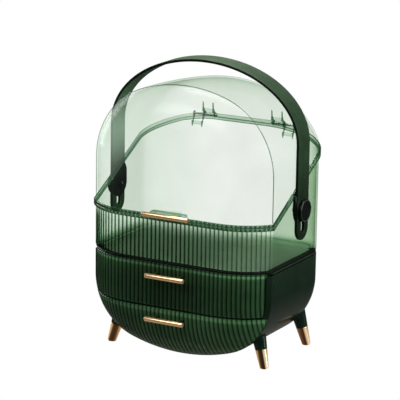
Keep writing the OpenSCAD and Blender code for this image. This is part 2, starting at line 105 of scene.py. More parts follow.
def front_y(d, h=0.0):
    "depth of the crowned front where the outline is d away; h is how far it is sunk"
    if d >= REACH: return FY + h
    return WY - sqrt(max(1.0, (WR - h) ** 2 - (REACH - d) ** 2))

def dev_x(s):
    "x at developed distance s from the middle of the front"
    a = abs(s)
    return s if a <= FH else (1 if s > 0 else -1) * (FH + WR * sin((a - FH) / WR))
S_END = FH + WR * TH1

def flute(s):
    t = abs(((s / PITCH) % 1.0) * 2 - 1)
    return 1.55 * t ** 2.6

# ------------------------------------------------------------------ mesh helpers
def finish_mesh(ob, angle=32, recalc=True):
    me = ob.data
    if recalc:
        bm = bmesh.new(); bm.from_mesh(me)
        bmesh.ops.remove_doubles(bm, verts=bm.verts, dist=1e-7)
        bmesh.ops.recalc_face_normals(bm, faces=bm.faces)
        bm.to_mesh(me); bm.free()
    for p in me.polygons: p.use_smooth = True
    me.set_sharp_from_angle(angle=radians(angle))

def obj_from(name, verts, faces, mats=(), fmat=None, angle=32):
    me = bpy.data.meshes.new(name)
    me.from_pydata([(float(v[0]) / 1000, float(v[1]) / 1000, float(v[2]) / 1000) for v in verts], [], faces)
    for mt in mats: me.materials.append(mt)
    if fmat is not None:
        for p, k in zip(me.polygons, fmat): p.material_index = k
    ob = bpy.data.objects.new(name, me)
    scene.collection.objects.link(ob)
    finish_mesh(ob, angle)
    return ob

def place(ob, body, nodes=()):
    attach(ob, body)
    if nodes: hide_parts(*nodes)
    return ob

class Shell:
    "collects vertices and faces"
    def __init__(self):
        self.v, self.f, self.k = [], [], []
    def row(self, pts):
        a = len(self.v); self.v.extend(pts); return list(range(a, a + len(pts)))
    def strip(self, a, b, closed=False, mat=0):
        n = len(a)
        for i in range(n if closed else n - 1):
            j = (i + 1) % n
            self.f.append((a[i], a[j], b[j], b[i])); self.k.append(mat)
    def face(self, idx, mat=0):
        self.f.append(tuple(idx)); self.k.append(mat)
    def build(self, name, mats, angle=32):
        return obj_from(name, self.v, self.f, mats, self.k, angle)

def add_bevel(ob, width, segments=3, angle=40):
    b = ob.modifiers.new("bevel", "BEVEL")
    b.width = width / 1000; b.segments = segments; b.limit_method = "ANGLE"; b.angle_limit = radians(angle)
    b.harden_normals = True
    return ob

# ------------------------------------------------------------------ materials
def new_mat(name):
    mt = bpy.data.materials.new(name)
    mt.use_nodes = True
    nt = mt.node_tree
    nt.nodes.clear()
    out = nt.nodes.new("ShaderNodeOutputMaterial")
    return mt, nt, out

def N(nt, kind, **kw):
    n = nt.nodes.new(kind)
    for k, v in kw.items():
        if k in n.inputs.keys(): n.inputs[k].default_value = v
        else: setattr(n, k, v)
    return n

def L(nt, a, b): nt.links.new(a, b)

def ramp(nt, fac, stops):
    r = nt.nodes.new("ShaderNodeValToRGB")
    e = r.color_ramp.elements
    while len(e) > 1: e.remove(e[-1])
    e[0].position, e[0].color = stops[0][0], (*stops[0][1], 1)
    for p, c in stops[1:]:
        q = e.new(p); q.color = (*c, 1)
    L(nt, fac, r.inputs["Fac"])
    return r

def rib_wave(nt, co):
    "0 on the crest of a flute and 1 in the valley, from the object's own coordinates"
    def M(op, a, b=None):
        n = nt.nodes.new("ShaderNodeMath"); n.operation = op
        for k, v in ((0, a), (1, b)):
            if v is None: continue
            if isinstance(v, (int, float)): n.inputs[k].default_value = v
            else: L(nt, v, n.inputs[k])
        return n.outputs[0]
    sp = N(nt, "ShaderNodeSeparateXYZ"); L(nt, co.outputs["Object"], sp.inputs["Vector"])
    ax = M("MULTIPLY", M("ABSOLUTE", sp.outputs["X"]), 1000.0)
    wing = M("ARCSINE", M("MINIMUM", M("MAXIMUM", M("DIVIDE", M("SUBTRACT", ax, FH), WR), 0.0), 1.0))
    dist = M("ADD", M("MINIMUM", ax, FH), M("MULTIPLY", wing, WR))
    t = M("FRACT", M("ADD", M("DIVIDE", dist, PITCH), 0.5))
    return M("ABSOLUTE", M("SUBTRACT", M("MULTIPLY", t, 2.0), 1.0))

def times(nt, a, b):
    g = N(nt, "ShaderNodeMix", data_type="RGBA", blend_type="MULTIPLY")
    g.inputs["Factor"].default_value = 1.0
    L(nt, a, g.inputs[6]); L(nt, b, g.inputs[7])
    return g.outputs[2]

def height_tone(nt, co, stops):
    "colour multiplier by height, (z mm, colour) from low to high"
    sp = N(nt, "ShaderNodeSeparateXYZ"); L(nt, co.outputs["Object"], sp.inputs["Vector"])
    mr = N(nt, "ShaderNodeMapRange")
    z0, z1 = stops[0][0], stops[-1][0]
    mr.inputs["From Min"].default_value, mr.inputs["From Max"].default_value = z0 / 1000, z1 / 1000
    L(nt, sp.outputs["Z"], mr.inputs["Value"])
    return ramp(nt, mr.outputs["Result"], [((z - z0) / (z1 - z0), c) for z, c in stops]).outputs["Color"]

def axis_tone(nt, co, axis, stops):
    "colour multiplier along X or Y, (mm, colour) from low to high"
    sp = N(nt, "ShaderNodeSeparateXYZ"); L(nt, co.outputs["Object"], sp.inputs["Vector"])
    mr = N(nt, "ShaderNodeMapRange")
    v0, v1 = stops[0][0], stops[-1][0]
    mr.inputs["From Min"].default_value, mr.inputs["From Max"].default_value = v0 / 1000, v1 / 1000
    L(nt, sp.outputs[axis], mr.inputs["Value"])
    return ramp(nt, mr.outputs["Result"], [((v - v0) / (v1 - v0), c if hasattr(c, "__len__") else (c, c, c)) for v, c in stops]).outputs["Color"]

def plastic(name, dark, light, rough=(0.10, 0.20), scale=60.0, bump=0.03, coat=0.0, ior=1.5, spec=0.28, peel=260.0, ribs=None, tone=None, xs=None, ys=None):
    mt, nt, out = new_mat(name)
    p = N(nt, "ShaderNodeBsdfPrincipled")
    co = N(nt, "ShaderNodeTexCoord")
    n1 = N(nt, "ShaderNodeTexNoise", Scale=scale, Detail=4.0)
    L(nt, co.outputs["Object"], n1.inputs["Vector"])
    r = ramp(nt, n1.outputs["Fac"], [(0.3, dark), (0.7, light)])
    col = r.outputs["Color"]
    if ribs: col = times(nt, col, ramp(nt, rib_wave(nt, co), ribs).outputs["Color"])
    if tone: col = times(nt, col, height_tone(nt, co, tone))
    if xs: col = times(nt, col, axis_tone(nt, co, "X", xs))
    if ys: col = times(nt, col, axis_tone(nt, co, "Y", ys))
    L(nt, col, p.inputs["Base Color"])
    n2 = N(nt, "ShaderNodeTexNoise", Scale=scale * 3.1, Detail=3.0)
    L(nt, co.outputs["Object"], n2.inputs["Vector"])
    mr = N(nt, "ShaderNodeMapRange")
    mr.inputs["To Min"].default_value, mr.inputs["To Max"].default_value = rough
    L(nt, n2.outputs["Fac"], mr.inputs["Value"])
    L(nt, mr.outputs["Result"], p.inputs["Roughness"])
    n3 = N(nt, "ShaderNodeTexNoise", Scale=peel, Detail=2.0)
    L(nt, co.outputs["Object"], n3.inputs["Vector"])
    b = N(nt, "ShaderNodeBump", Strength=bump, Distance=0.0004)
    L(nt, n3.outputs["Fac"], b.inputs["Height"])
    L(nt, b.outputs["Normal"], p.inputs["Normal"])
    p.inputs["IOR"].default_value = ior
    p.inputs["Specular IOR Level"].default_value = spec
    p.inputs["Coat Weight"].default_value = coat
    p.inputs["Coat Roughness"].default_value = 0.06
    L(nt, p.outputs["BSDF"], out.inputs["Surface"])
    return mt

def metal(name, dark, light, rough=(0.12, 0.24), scale=(40, 40, 40), xs=None, zs=None):
    mt, nt, out = new_mat(name)
    p = N(nt, "ShaderNodeBsdfPrincipled")
    p.inputs["Metallic"].default_value = 1.0
    co = N(nt, "ShaderNodeTexCoord")
    mp = N(nt, "ShaderNodeMapping"); mp.inputs["Scale"].default_value = scale
    L(nt, co.outputs["Object"], mp.inputs["Vector"])
    n1 = N(nt, "ShaderNodeTexNoise", Scale=8.0, Detail=5.0)
    L(nt, mp.outputs["Vector"], n1.inputs["Vector"])
    r = ramp(nt, n1.outputs["Fac"], [(0.3, dark), (0.7, light)])
    col = r.outputs["Color"]
    if xs: col = times(nt, col, axis_tone(nt, co, "X", xs))
    if zs: col = times(nt, col, axis_tone(nt, co, "Z", zs))
    L(nt, col, p.inputs["Base Color"])
    mr = N(nt, "ShaderNodeMapRange")
    mr.inputs["To Min"].default_value, mr.inputs["To Max"].default_value = rough
    L(nt, n1.outputs["Fac"], mr.inputs["Value"])
    L(nt, mr.outputs["Result"], p.inputs["Roughness"])
    b = N(nt, "ShaderNodeBump", Strength=0.03, Distance=0.0002)
    L(nt, n1.outputs["Fac"], b.inputs["Height"])
    L(nt, b.outputs["Normal"], p.inputs["Normal"])
    L(nt, p.outputs["BSDF"], out.inputs["Surface"])
    return mt

def clear(name, face, edge, power=2.0, gloss=0.05, milk_and_glow=0.0, milk_and_glow_col=(0.5, 0.7, 0.6), f0=0.02, fmax=0.5, vary=0.02, ribs=None, tone=None, across=None, glow_mask=None, ribs2=None):
    """thin tinted sheet: straight-through tint that thickens towards the edges of a curve, plus gloss; ribs, ribs2,
    tone and across paint shade and light into the tint, and a glow mask turns the milky layer into a painted glow
    """
    mt, nt, out = new_mat(name)
    co = N(nt, "ShaderNodeTexCoord")
    lw = N(nt, "ShaderNodeLayerWeight", Blend=0.5)
    pw = N(nt, "ShaderNodeMath", operation="POWER"); pw.inputs[1].default_value = power
    L(nt, lw.outputs["Facing"], pw.inputs[0])
    noise = N(nt, "ShaderNodeTexNoise", Scale=14.0, Detail=3.0)
    L(nt, co.outputs["Object"], noise.inputs["Vector"])
    src = ramp(nt, noise.outputs["Fac"], [(0.3, [c * (1 - vary) for c in face]), (0.7, [min(1, c * (1 + vary * 0.5)) for c in face])]).outputs["Color"]
    if ribs:
        wave = rib_wave(nt, co)
        lines = ramp(nt, wave, ribs).outputs["Color"]
        if ribs2:
            bw0 = N(nt, "ShaderNodeRGBToBW"); L(nt, axis_tone(nt, co, "X", ribs2[0]), bw0.inputs[0])
            fade = N(nt, "ShaderNodeMix", data_type="RGBA")
            L(nt, bw0.outputs[0], fade.inputs["Factor"]); L(nt, lines, fade.inputs[6]); L(nt, ramp(nt, wave, ribs2[1]).outputs["Color"], fade.inputs[7])
            lines = fade.outputs[2]
        src = times(nt, src, lines)
    if tone: src = times(nt, src, height_tone(nt, co, tone))
    if across:
        sp = N(nt, "ShaderNodeSeparateXYZ"); L(nt, co.outputs["Object"], sp.inputs["Vector"])
        mr = N(nt, "ShaderNodeMapRange")
        mr.inputs["From Min"].default_value, mr.inputs["From Max"].default_value = -0.14, 0.14
        L(nt, sp.outputs["X"], mr.inputs["Value"])
        src = times(nt, src, ramp(nt, mr.outputs["Result"], [((x + 140) / 280, c) for x, c in across]).outputs["Color"])
    mx = N(nt, "ShaderNodeMix", data_type="RGBA")
    L(nt, pw.outputs[0], mx.inputs["Factor"]); L(nt, src, mx.inputs[6])
    ed = N(nt, "ShaderNodeMix", data_type="RGBA", blend_type="MULTIPLY")
    ed.inputs["Factor"].default_value = 1.0; L(nt, src, ed.inputs[6]); ed.inputs[7].default_value = (*edge, 1)
    L(nt, ed.outputs[2], mx.inputs[7])
    tr = N(nt, "ShaderNodeBsdfTransparent"); L(nt, mx.outputs[2], tr.inputs["Color"])
    p5 = N(nt, "ShaderNodeMath", operation="POWER"); p5.inputs[1].default_value = 5.0
    L(nt, lw.outputs["Facing"], p5.inputs[0])
    fr = N(nt, "ShaderNodeMapRange"); fr.inputs["To Min"].default_value = f0; fr.inputs["To Max"].default_value = fmax
    L(nt, p5.outputs[0], fr.inputs["Value"])
    gl = N(nt, "ShaderNodeBsdfGlossy", Roughness=gloss)
    gl.inputs["Color"].default_value = (1, 1, 1, 1)
    base = tr
    # without a glow mask the milky layer is a lit diffuse part of the plastic; with one it is an emission, a painted
    # glow
    if milk_and_glow > 0:
        if glow_mask: df = N(nt, "ShaderNodeEmission", Strength=0.9)
        else: df = N(nt, "ShaderNodeBsdfDiffuse")
        df.inputs["Color"].default_value = (*milk_and_glow_col, 1)
        mk = N(nt, "ShaderNodeMixShader"); mk.inputs[0].default_value = milk_and_glow
        if glow_mask:
            hz = times(nt, axis_tone(nt, co, "X", glow_mask[0]), axis_tone(nt, co, "Z", glow_mask[1]))
            if ribs: hz = times(nt, hz, ramp(nt, rib_wave(nt, co), ribs).outputs["Color"])
            bw = N(nt, "ShaderNodeRGBToBW"); L(nt, hz, bw.inputs[0]); L(nt, bw.outputs[0], mk.inputs[0])
        L(nt, tr.outputs[0], mk.inputs[1]); L(nt, df.outputs[0], mk.inputs[2])
        base = mk
    ms = N(nt, "ShaderNodeMixShader")
    L(nt, fr.outputs["Result"], ms.inputs[0]); L(nt, base.outputs[0], ms.inputs[1]); L(nt, gl.outputs[0], ms.inputs[2])
    L(nt, ms.outputs[0], out.inputs["Surface"])
    return mt

W3 = (1.0, 1.0, 1.0)
# casing plastic: the height tone is painted light, lighter near the underside as a painted reflection of the floor and
# darker higher up as painted shade
M_case = plastic("casing plastic", (0.010, 0.024, 0.013), (0.013, 0.031, 0.017), (0.12, 0.2), spec=0.12,
                 tone=[(6, (2.9, 1.4, 2.0)), (18, (1.7, 0.95, 1.3)), (40, (0.9, 0.7, 0.8)), (70, (1.0, 0.9, 0.95)), (100, (0.7, 0.85, 0.8)), (138, (1.1, 1.15, 1.1))])
# deck edge band: the green plastic darkened almost to black as painted shade in the gap under the cabin, with a dim
# green strip at 140.5 to 141.6 mm
M_gap_shade = plastic("deck edge painted shade", (0.0025, 0.006, 0.003), (0.004, 0.009, 0.005), (0.2, 0.3), spec=0.12,
                 tone=[(137, W3), (140.0, W3), (140.5, (13, 8, 10)), (141.6, (13, 8, 10)), (142.1, W3), (147, W3)])
# deck plastic: the X and Y tones are painted light, lighter towards the right and towards the rear
M_deck = plastic("deck plastic", (0.110, 0.172, 0.112), (0.125, 0.192, 0.125), (0.3, 0.4),
                 xs=[(-140, 1.1), (-100, 1.05), (-60, 0.85), (20, 1.05), (80, (1.85, 1.65, 1.85)), (120, (2.2, 1.75, 2.3)), (140, (2.2, 1.75, 2.3))], ys=[(-100, 1.0), (20, 1.0), (60, 1.15), (90, 1.45), (106, 2.0)])
# flute ramp: painted highlight on the crests and painted shade in the valleys
FLUTE_SHADE_RAMP = [(0.0, (1.35, 1.3, 1.3)), (0.25, (1.15, 1.15, 1.15)), (0.55, (0.9, 0.9, 0.9)), (0.8, (0.45, 0.5, 0.45)), (1.0, (0.15, 0.2, 0.15))]
# middle front: the height tone paints a highlight along the top edge (136.8 to 138.8 mm) and a lighter lower edge; the
# X tone paints light, lighter towards the right
M_front = plastic("fluted front plastic", (0.021, 0.058, 0.023), (0.027, 0.070, 0.029), (0.14, 0.24), bump=0.02, spec=0.16, ribs=FLUTE_SHADE_RAMP,
                  tone=[(79, (1.3, 1.3, 1.3)), (82.4, (0.8, 0.8, 0.8)), (116, (0.75, 0.75, 0.75)), (132, (1.1, 1.1, 1.1)), (135.2, (1.4, 1.4, 1.4)), (136.8, (3.4, 3.2, 3.4)), (138.8, (3.6, 3.4, 3.6)), (139.8, (1.2, 1.2, 1.2)), (141, (0.8, 0.8, 0.8)), (142, (0.9, 0.9, 0.9))],
                  xs=[(-140, 1.0), (-90, 1.3), (-20, 0.85), (30, 1.05), (80, 1.6), (130, 2.2)])
# bottom front: the height tone paints the underside lighter as a painted reflection of the floor and a highlight along
# the top edge (72.2 to 74.8 mm); the X tone paints light, lighter towards the right
M_frontlow = plastic("lower fluted front plastic", (0.021, 0.058, 0.023), (0.027, 0.070, 0.029), (0.14, 0.24), bump=0.02, spec=0.16, ribs=FLUTE_SHADE_RAMP,
                  tone=[(6, (6.6, 4.2, 5.4)), (18, (3.3, 2.35, 2.8)), (34, (1.4, 1.2, 1.25)), (58.2, (1.0, 1.0, 1.0)), (69.7, (1.3, 1.3, 1.3)), (72.2, (2.6, 2.5, 2.6)), (74.8, (2.6, 2.5, 2.6)), (77.2, (1.4, 1.4, 1.4))],
                  xs=[(-140, 0.8), (-90, 0.95), (0, 1.5), (60, 1.9), (130, 2.2)])
M_tray = plastic("tray plastic", (0.030, 0.085, 0.045), (0.042, 0.11, 0.060), (0.2, 0.32))
M_black = plastic("black plastic", (0.0030, 0.0060, 0.0040), (0.005, 0.009, 0.0065), (0.16, 0.26), spec=0.25)
# handle plastic: the height tone is painted light, a painted highlight rising to the top of the arch and painted shade
# lower down
M_handle = plastic("handle plastic", (0.016, 0.040, 0.018), (0.023, 0.052, 0.024), (0.24, 0.34), spec=0.2,
                   tone=[(170, (0.6, 0.6, 0.6)), (215, (0.5, 0.5, 0.5)), (262, (1.0, 1.0, 1.0)), (290, (1.5, 1.5, 1.5)), (350, (1.4, 1.3, 1.35)), (395, (2.2, 1.7, 2.0)), (414, (4.8, 3.1, 4.1))])
# lit copy of the handle plastic for the inner faces: the lighter green and its height tone are painted light
M_strap_lit = plastic("handle inner painted light", (0.045, 0.11, 0.050), (0.055, 0.13, 0.060), (0.24, 0.34), spec=0.2,
                    tone=[(170, (1.1, 1.1, 1.1)), (230, (0.6, 0.6, 0.6)), (262, (0.9, 0.9, 0.9)), (300, (1.35, 1.55, 1.4)), (340, (1.7, 1.7, 1.7)), (375, (0.9, 0.8, 0.85)), (414, (0.7, 0.55, 0.65))])
# shaded copy of the handle plastic for the narrow front and back edges: painted shade
M_strap_shade = plastic("handle edge painted shade", (0.005, 0.012, 0.006), (0.008, 0.017, 0.009), (0.24, 0.34), spec=0.15)
# lighter grey ring on the button: a painted highlight
M_ring_highlight = plastic("button ring painted highlight", (0.05, 0.058, 0.05), (0.065, 0.075, 0.065), (0.12, 0.2), spec=0.6)
M_leg = plastic("leg plastic", (0.005, 0.022, 0.012), (0.009, 0.034, 0.018), (0.14, 0.22), spec=0.3)
M_gold = metal("rose gold", (0.92, 0.64, 0.38), (1.0, 0.78, 0.52), (0.12, 0.2), (30, 30, 30))
# the rose gold glows with a fixed emission: painted light
for n_ in M_gold.node_tree.nodes:
    if n_.type == "BSDF_PRINCIPLED":
        n_.inputs["Emission Color"].default_value = (0.62, 0.34, 0.14, 1)
        n_.inputs["Emission Strength"].default_value = 0.28
def painted_tip_metal(name, sx_, y0, yk, bands):
    """polished metal whose vertical light and dark bands round a leaning leg are painted reflections; bands are (mm
    across, colour)
    """
    mt, nt, out = new_mat(name)
    co = N(nt, "ShaderNodeTexCoord")
    sp = N(nt, "ShaderNodeSeparateXYZ"); L(nt, co.outputs["Object"], sp.inputs["Vector"])
    def M(op, a, b):
        n = nt.nodes.new("ShaderNodeMath"); n.operation = op
        for k, v in ((0, a), (1, b)):
            if isinstance(v, (int, float)): n.inputs[k].default_value = v
            else: L(nt, v, n.inputs[k])
        return n.outputs[0]
    u = M("ADD", M("ADD", M("MULTIPLY", sp.outputs["X"], 876.0), M("MULTIPLY", sp.outputs["Y"], 482.0)),
          M("ADD", M("MULTIPLY", sp.outputs["Z"], 1000.0 * (sx_ * 0.2365 - yk * 0.482)), -sx_ * 107.7 - y0 * 0.482))
    f = M("DIVIDE", M("ADD", u, 9.0), 18.0)
    col = ramp(nt, f, [((mm + 9) / 18, c) for mm, c in bands]).outputs["Color"]
    # lighter towards the foot as a painted reflection of the floor, darker at the top as painted shade
    col = times(nt, col, height_tone(nt, co, [(0, (1.5, 1.35, 1.0)), (1.5, (1.15, 1.1, 1.0)), (4, W3), (24, W3), (27, (0.8, 0.8, 0.8))]))
    p = N(nt, "ShaderNodeBsdfPrincipled")
    p.inputs["Metallic"].default_value = 1.0
    n1 = N(nt, "ShaderNodeTexNoise", Scale=240.0, Detail=4.0); L(nt, co.outputs["Object"], n1.inputs["Vector"])
    col = times(nt, col, ramp(nt, n1.outputs["Fac"], [(0.3, (0.94, 0.94, 0.94)), (0.7, W3)]).outputs["Color"])
    mr = N(nt, "ShaderNodeMapRange"); mr.inputs["To Min"].default_value, mr.inputs["To Max"].default_value = 0.10, 0.18
    L(nt, n1.outputs["Fac"], mr.inputs["Value"]); L(nt, mr.outputs["Result"], p.inputs["Roughness"])
    # the band colour also drives the emission: a painted glow
    L(nt, col, p.inputs["Base Color"]); L(nt, col, p.inputs["Emission Color"])
    p.inputs["Emission Strength"].default_value = 0.62
    L(nt, p.outputs["BSDF"], out.inputs["Surface"])
    return mt
# the bands of each leg tip: painted reflections, light and dark, (mm across, colour)
TIP_L = [(-9, (1.0, 0.74, 0.42)), (-6, (0.75, 0.45, 0.2)), (-4.4, (0.10, 0.05, 0.02)), (-1, (0.05, 0.025, 0.01)), (3, (0.10, 0.05, 0.02)), (5.5, (0.5, 0.3, 0.12)), (8, (0.75, 0.5, 0.26))]
TIP_FR = [(-9, (0.45, 0.26, 0.11)), (-6.5, (0.6, 0.35, 0.15)), (-4.4, (0.09, 0.045, 0.02)), (-1, (0.03, 0.015, 0.008)), (1, (0.06, 0.03, 0.012)), (2.2, (0.9, 0.62, 0.36)), (4.5, (1.0, 0.92, 0.72)), (6.5, (0.9, 0.58, 0.3)), (8.5, (0.45, 0.24, 0.1))]
TIP_RR = [(-9, (0.35, 0.18, 0.07)), (-5, (0.15, 0.07, 0.025)), (-1, (0.05, 0.022, 0.01)), (1, (0.10, 0.045, 0.018)), (2.2, (0.8, 0.5, 0.26)), (4.5, (1.0, 0.82, 0.56)), (6.5, (0.9, 0.6, 0.32)), (8.5, (0.5, 0.28, 0.12))]
TIPS = {"front_left": painted_tip_metal("rose gold front left", -1, -45.5, 0.09, TIP_L), "front_right": painted_tip_metal("rose gold front right", 1, -45.5, 0.09, TIP_FR),
        "rear_left": painted_tip_metal("rose gold rear left", -1, 84.0, -0.09, TIP_L), "rear_right": painted_tip_metal("rose gold rear right", 1, 84.0, -0.09, TIP_RR)}
M_steel = metal("zinc steel", (0.45, 0.46, 0.48), (0.62, 0.63, 0.65), (0.25, 0.4))
# lid: the glow mask paints a glow on the upper left edge, a painted reflection
M_lid = clear("lid clear", (0.953, 0.970, 0.950), (0.80, 0.87, 0.80), 3.0, gloss=0.16, f0=0.012, fmax=0.12,
              milk_and_glow=0.2, milk_and_glow_col=(0.80, 1.0, 0.84), glow_mask=([(-141, 0.20), (-132, 0.15), (-112, 0.04), (-60, 0.0), (140, 0.0)], [(205, 0.0), (250, 0.25), (300, 1.0), (390, 1.0)]))
# cabin front: the glow mask paints a glow rising towards the rim, the rib ramps paint dark lines in the flute valleys
# as painted shade, softer towards the right, and across paints shade at the left edge
M_cabin = clear("cabin clear", (0.90, 0.95, 0.89), (0.30, 0.45, 0.31), 2.0, f0=0.02, fmax=0.3, milk_and_glow=0.5, milk_and_glow_col=(0.66, 0.86, 0.66),
                glow_mask=([(-140, 1.0), (140, 1.0)], [(176, 0.0), (184, 0.01), (189.5, 0.05), (192, 0.12), (195, 0.22), (197.5, 0.40), (201, 0.52)]),
                ribs=[(0.0, W3), (0.40, (0.95, 0.96, 0.95)), (0.56, (0.72, 0.78, 0.72)), (0.68, (0.20, 0.30, 0.21)), (0.80, (0.05, 0.1, 0.06)), (1.0, (0.02, 0.05, 0.03))],
                ribs2=([(-140, 0.0), (10, 0.0), (70, 0.75), (110, 1.0), (140, 1.0)],
                       [(0.0, (0.95, 0.96, 0.95)), (0.5, (0.88, 0.9, 0.88)), (0.70, (0.66, 0.72, 0.66)), (0.84, (0.28, 0.38, 0.30)), (1.0, (0.09, 0.17, 0.11))]),
                across=[(-140, (0.62, 0.72, 0.63)), (-126, (0.80, 0.86, 0.80)), (-105, W3), (140, W3)])
M_inner = clear("cabin inner clear", (0.92, 0.955, 0.92), (0.5, 0.6, 0.5), 2.0, f0=0.012, fmax=0.2)
# side walls: painted shade, darker towards the right and slightly at the left edge
SIDE_SHADE_X = [(-140, (0.93, 0.96, 0.93)), (-60, W3), (84, W3), (112, (0.87, 0.92, 0.86)), (128, (0.78, 0.85, 0.77)), (134, (0.80, 0.88, 0.79)), (138, (0.80, 0.88, 0.79)), (140, (0.80, 0.88, 0.79))]
# cabin side and left walls: the height tone paints shade at the foot of the wall, dark where it meets the deck
M_side = clear("cabin side clear", (0.972, 0.983, 0.970), (0.60, 0.70, 0.60), 2.5, f0=0.012, fmax=0.2,
               tone=[(138, (0.24, 0.36, 0.26)), (141, (0.36, 0.49, 0.38)), (144, (0.64, 0.75, 0.66)), (147, (0.88, 0.93, 0.89)), (152, W3), (330, W3)], across=SIDE_SHADE_X)
M_sidel = clear("cabin left clear", (0.972, 0.983, 0.970), (0.60, 0.70, 0.60), 2.5, f0=0.012, fmax=0.2,
                tone=[(138, (0.22, 0.33, 0.24)), (143, (0.29, 0.41, 0.31)), (148, (0.50, 0.62, 0.52)), (154, (0.84, 0.90, 0.85)), (162, W3), (330, W3)], across=SIDE_SHADE_X)
M_lip = clear("rim lip clear", (0.50, 0.66, 0.52), (0.12, 0.3, 0.15), 1.6, f0=0.03, fmax=0.5, milk_and_glow=0.10, milk_and_glow_col=(0.25, 0.6, 0.35))
# darker faces of the lips: painted shade lines along the rim
M_lip_shade = clear("rim lip edge", (0.16, 0.30, 0.19), (0.08, 0.2, 0.1), 1.2, f0=0.03, fmax=0.4, milk_and_glow=0.10, milk_and_glow_col=(0.05, 0.16, 0.08))
# front rim: the rib ramp paints highlight dashes on the flute crests
M_rimf = clear("front rim clear", (0.13, 0.22, 0.14), (0.10, 0.18, 0.11), 1.6, f0=0.03, fmax=0.4, milk_and_glow=0.45, milk_and_glow_col=(0.05, 0.11, 0.055),
               ribs=[(0.0, (2.3, 2.2, 2.3)), (0.35, (1.6, 1.6, 1.6)), (0.6, (0.7, 0.75, 0.7)), (1.0, (0.35, 0.4, 0.35))])
M_lidlip = clear("lid lip clear", (0.66, 0.78, 0.67), (0.2, 0.4, 0.24), 1.6, f0=0.03, fmax=0.5, milk_and_glow=0.10, milk_and_glow_col=(0.4, 0.75, 0.5))
M_plain = clear("cabin floor clear", (0.985, 0.99, 0.985), (0.9, 0.94, 0.9), 2.0, f0=0.01, fmax=0.15)
M_tab = clear("lid tab clear", (0.80, 0.87, 0.81), (0.3, 0.5, 0.34), 1.4, f0=0.04, fmax=0.5)
M_ear = clear("hinge clear", (0.62, 0.77, 0.64), (0.06, 0.2, 0.1), 1.0, f0=0.03, fmax=0.4, milk_and_glow=0.08, milk_and_glow_col=(0.2, 0.5, 0.3))
M_leaf = clear("hinge leaf clear", (0.86, 0.93, 0.88), (0.4, 0.6, 0.45), 1.5, f0=0.02, fmax=0.3)
# crease line: a painted dark line for the refraction at the crease, dark from -4 to 78 mm across and paler towards the
# sides
M_crease_shade = clear("lid crease painted shade", (0.90, 0.90, 0.90), (0.6, 0.7, 0.6), 1.0, f0=0.03, fmax=0.4,
               across=[(-140, (0.80, 0.84, 0.80)), (-30, (0.72, 0.80, 0.73)), (-4, (0.22, 0.38, 0.26)), (78, (0.22, 0.38, 0.26)), (92, (0.85, 0.9, 0.85)), (112, (0.85, 0.9, 0.85)), (124, (0.5, 0.58, 0.5)), (140, (0.42, 0.52, 0.43))])

# ------------------------------------------------------------------ fluted fronts
PER = 12
def columns(xmax):
    "developed positions, PER to a flute, ending at |x| = xmax"
    smax = FH + WR * asin((xmax - FH) / WR)
    n = int(smax / PITCH * PER)
    s = [k * PITCH / PER for k in range(-n, n + 1)]
    return [-smax] + s + [smax]

def fluted(name, xmax, z_top, z_low, depth, body, node, outline, fade_low=0.0, y_cap=0.0, edge=2.4):
    "z_low(x) is the lower edge; rows run level and end on the outline; the flutes fade out within fade_low of it"
    sh = Shell()
    cols = columns(xmax)
    z_min = min(z_low(0.0), z_low(xmax * 0.9))
    steps = [0, 0.18, 0.42, 0.75, 1.2, 1.8, 2.5]
    H = z_top - z_min
    n = max(8, int((H - 5) / 1.7))
    drops = steps + [2.5 + (H - 5.0) * k / n for k in range(1, n)] + [H - t for t in steps[::-1]]
    fr, bk = [], []
    for t in drops:
        pts, ptb = [], []
        for s in cols:
            x = dev_x(s)
            zl = min(z_top, z_low(x))
            z = max(z_top - t, zl)
            dt, db = z_top - z, z - zl
            d = low_d(x, z)
            side = (d - outline) if fade_low else min(xmax - abs(x), 50.0)
            dn = max(0.0, min(dt, db if not fade_low else 99.0, max(side, 0.0) * 1.2))
            h = edge * 0.8 * (1 - sqrt(max(0.0, 1 - (1 - min(1.0, dn / 2.5)) ** 2)))
            am = min(1.0, 0.12 + dt / 2.0)
            if fade_low:
                q = min(1.0, max(0.0, side) / fade_low); am *= q * q * (3 - 2 * q)
            else:
                am *= min(1.0, 0.12 + db / 2.0) * min(1.0, max(0.0, side) / 2.5)
            h += flute(s + PITCH / 2) * am
            y = front_y(d, h)
            yb = front_y(d, depth)
            if y_cap: y, yb = min(y, y_cap - 0.3), min(yb, y_cap)
            pts.append((x, y, z)); ptb.append((x, yb, z))
        fr.append(sh.row(pts)); bk.append(sh.row(ptb))
    for a, b in zip(fr, fr[1:]): sh.strip(a, b)
    for a, b in zip(bk, bk[1:]): sh.strip(b, a)
    sh.strip(bk[0], fr[0]); sh.strip(fr[-1], bk[-1])
    for j in range(len(fr) - 1):
        sh.face((fr[j][0], fr[j + 1][0], bk[j + 1][0], bk[j][0]))
        sh.face((fr[j][-1], bk[j][-1], bk[j + 1][-1], fr[j + 1][-1]))
    ob = sh.build(name, [M_frontlow if fade_low else M_front], 50)
    return place(ob, body, [node])

fluted("middle_drawer_front", HW - 6.2, 142.0, lambda x: max(SPLIT + 1.2, low_z(x, 6.2)), 3.2, "middle_drawer", "middle_front", 6.2)
fluted("bottom_drawer_front", 135.9, SPLIT - 1.0, lambda x: low_z(x, 0.5), 3.2, "bottom_drawer", "bottom_front", 0.5, fade_low=13.0, y_cap=EY - 0.85)

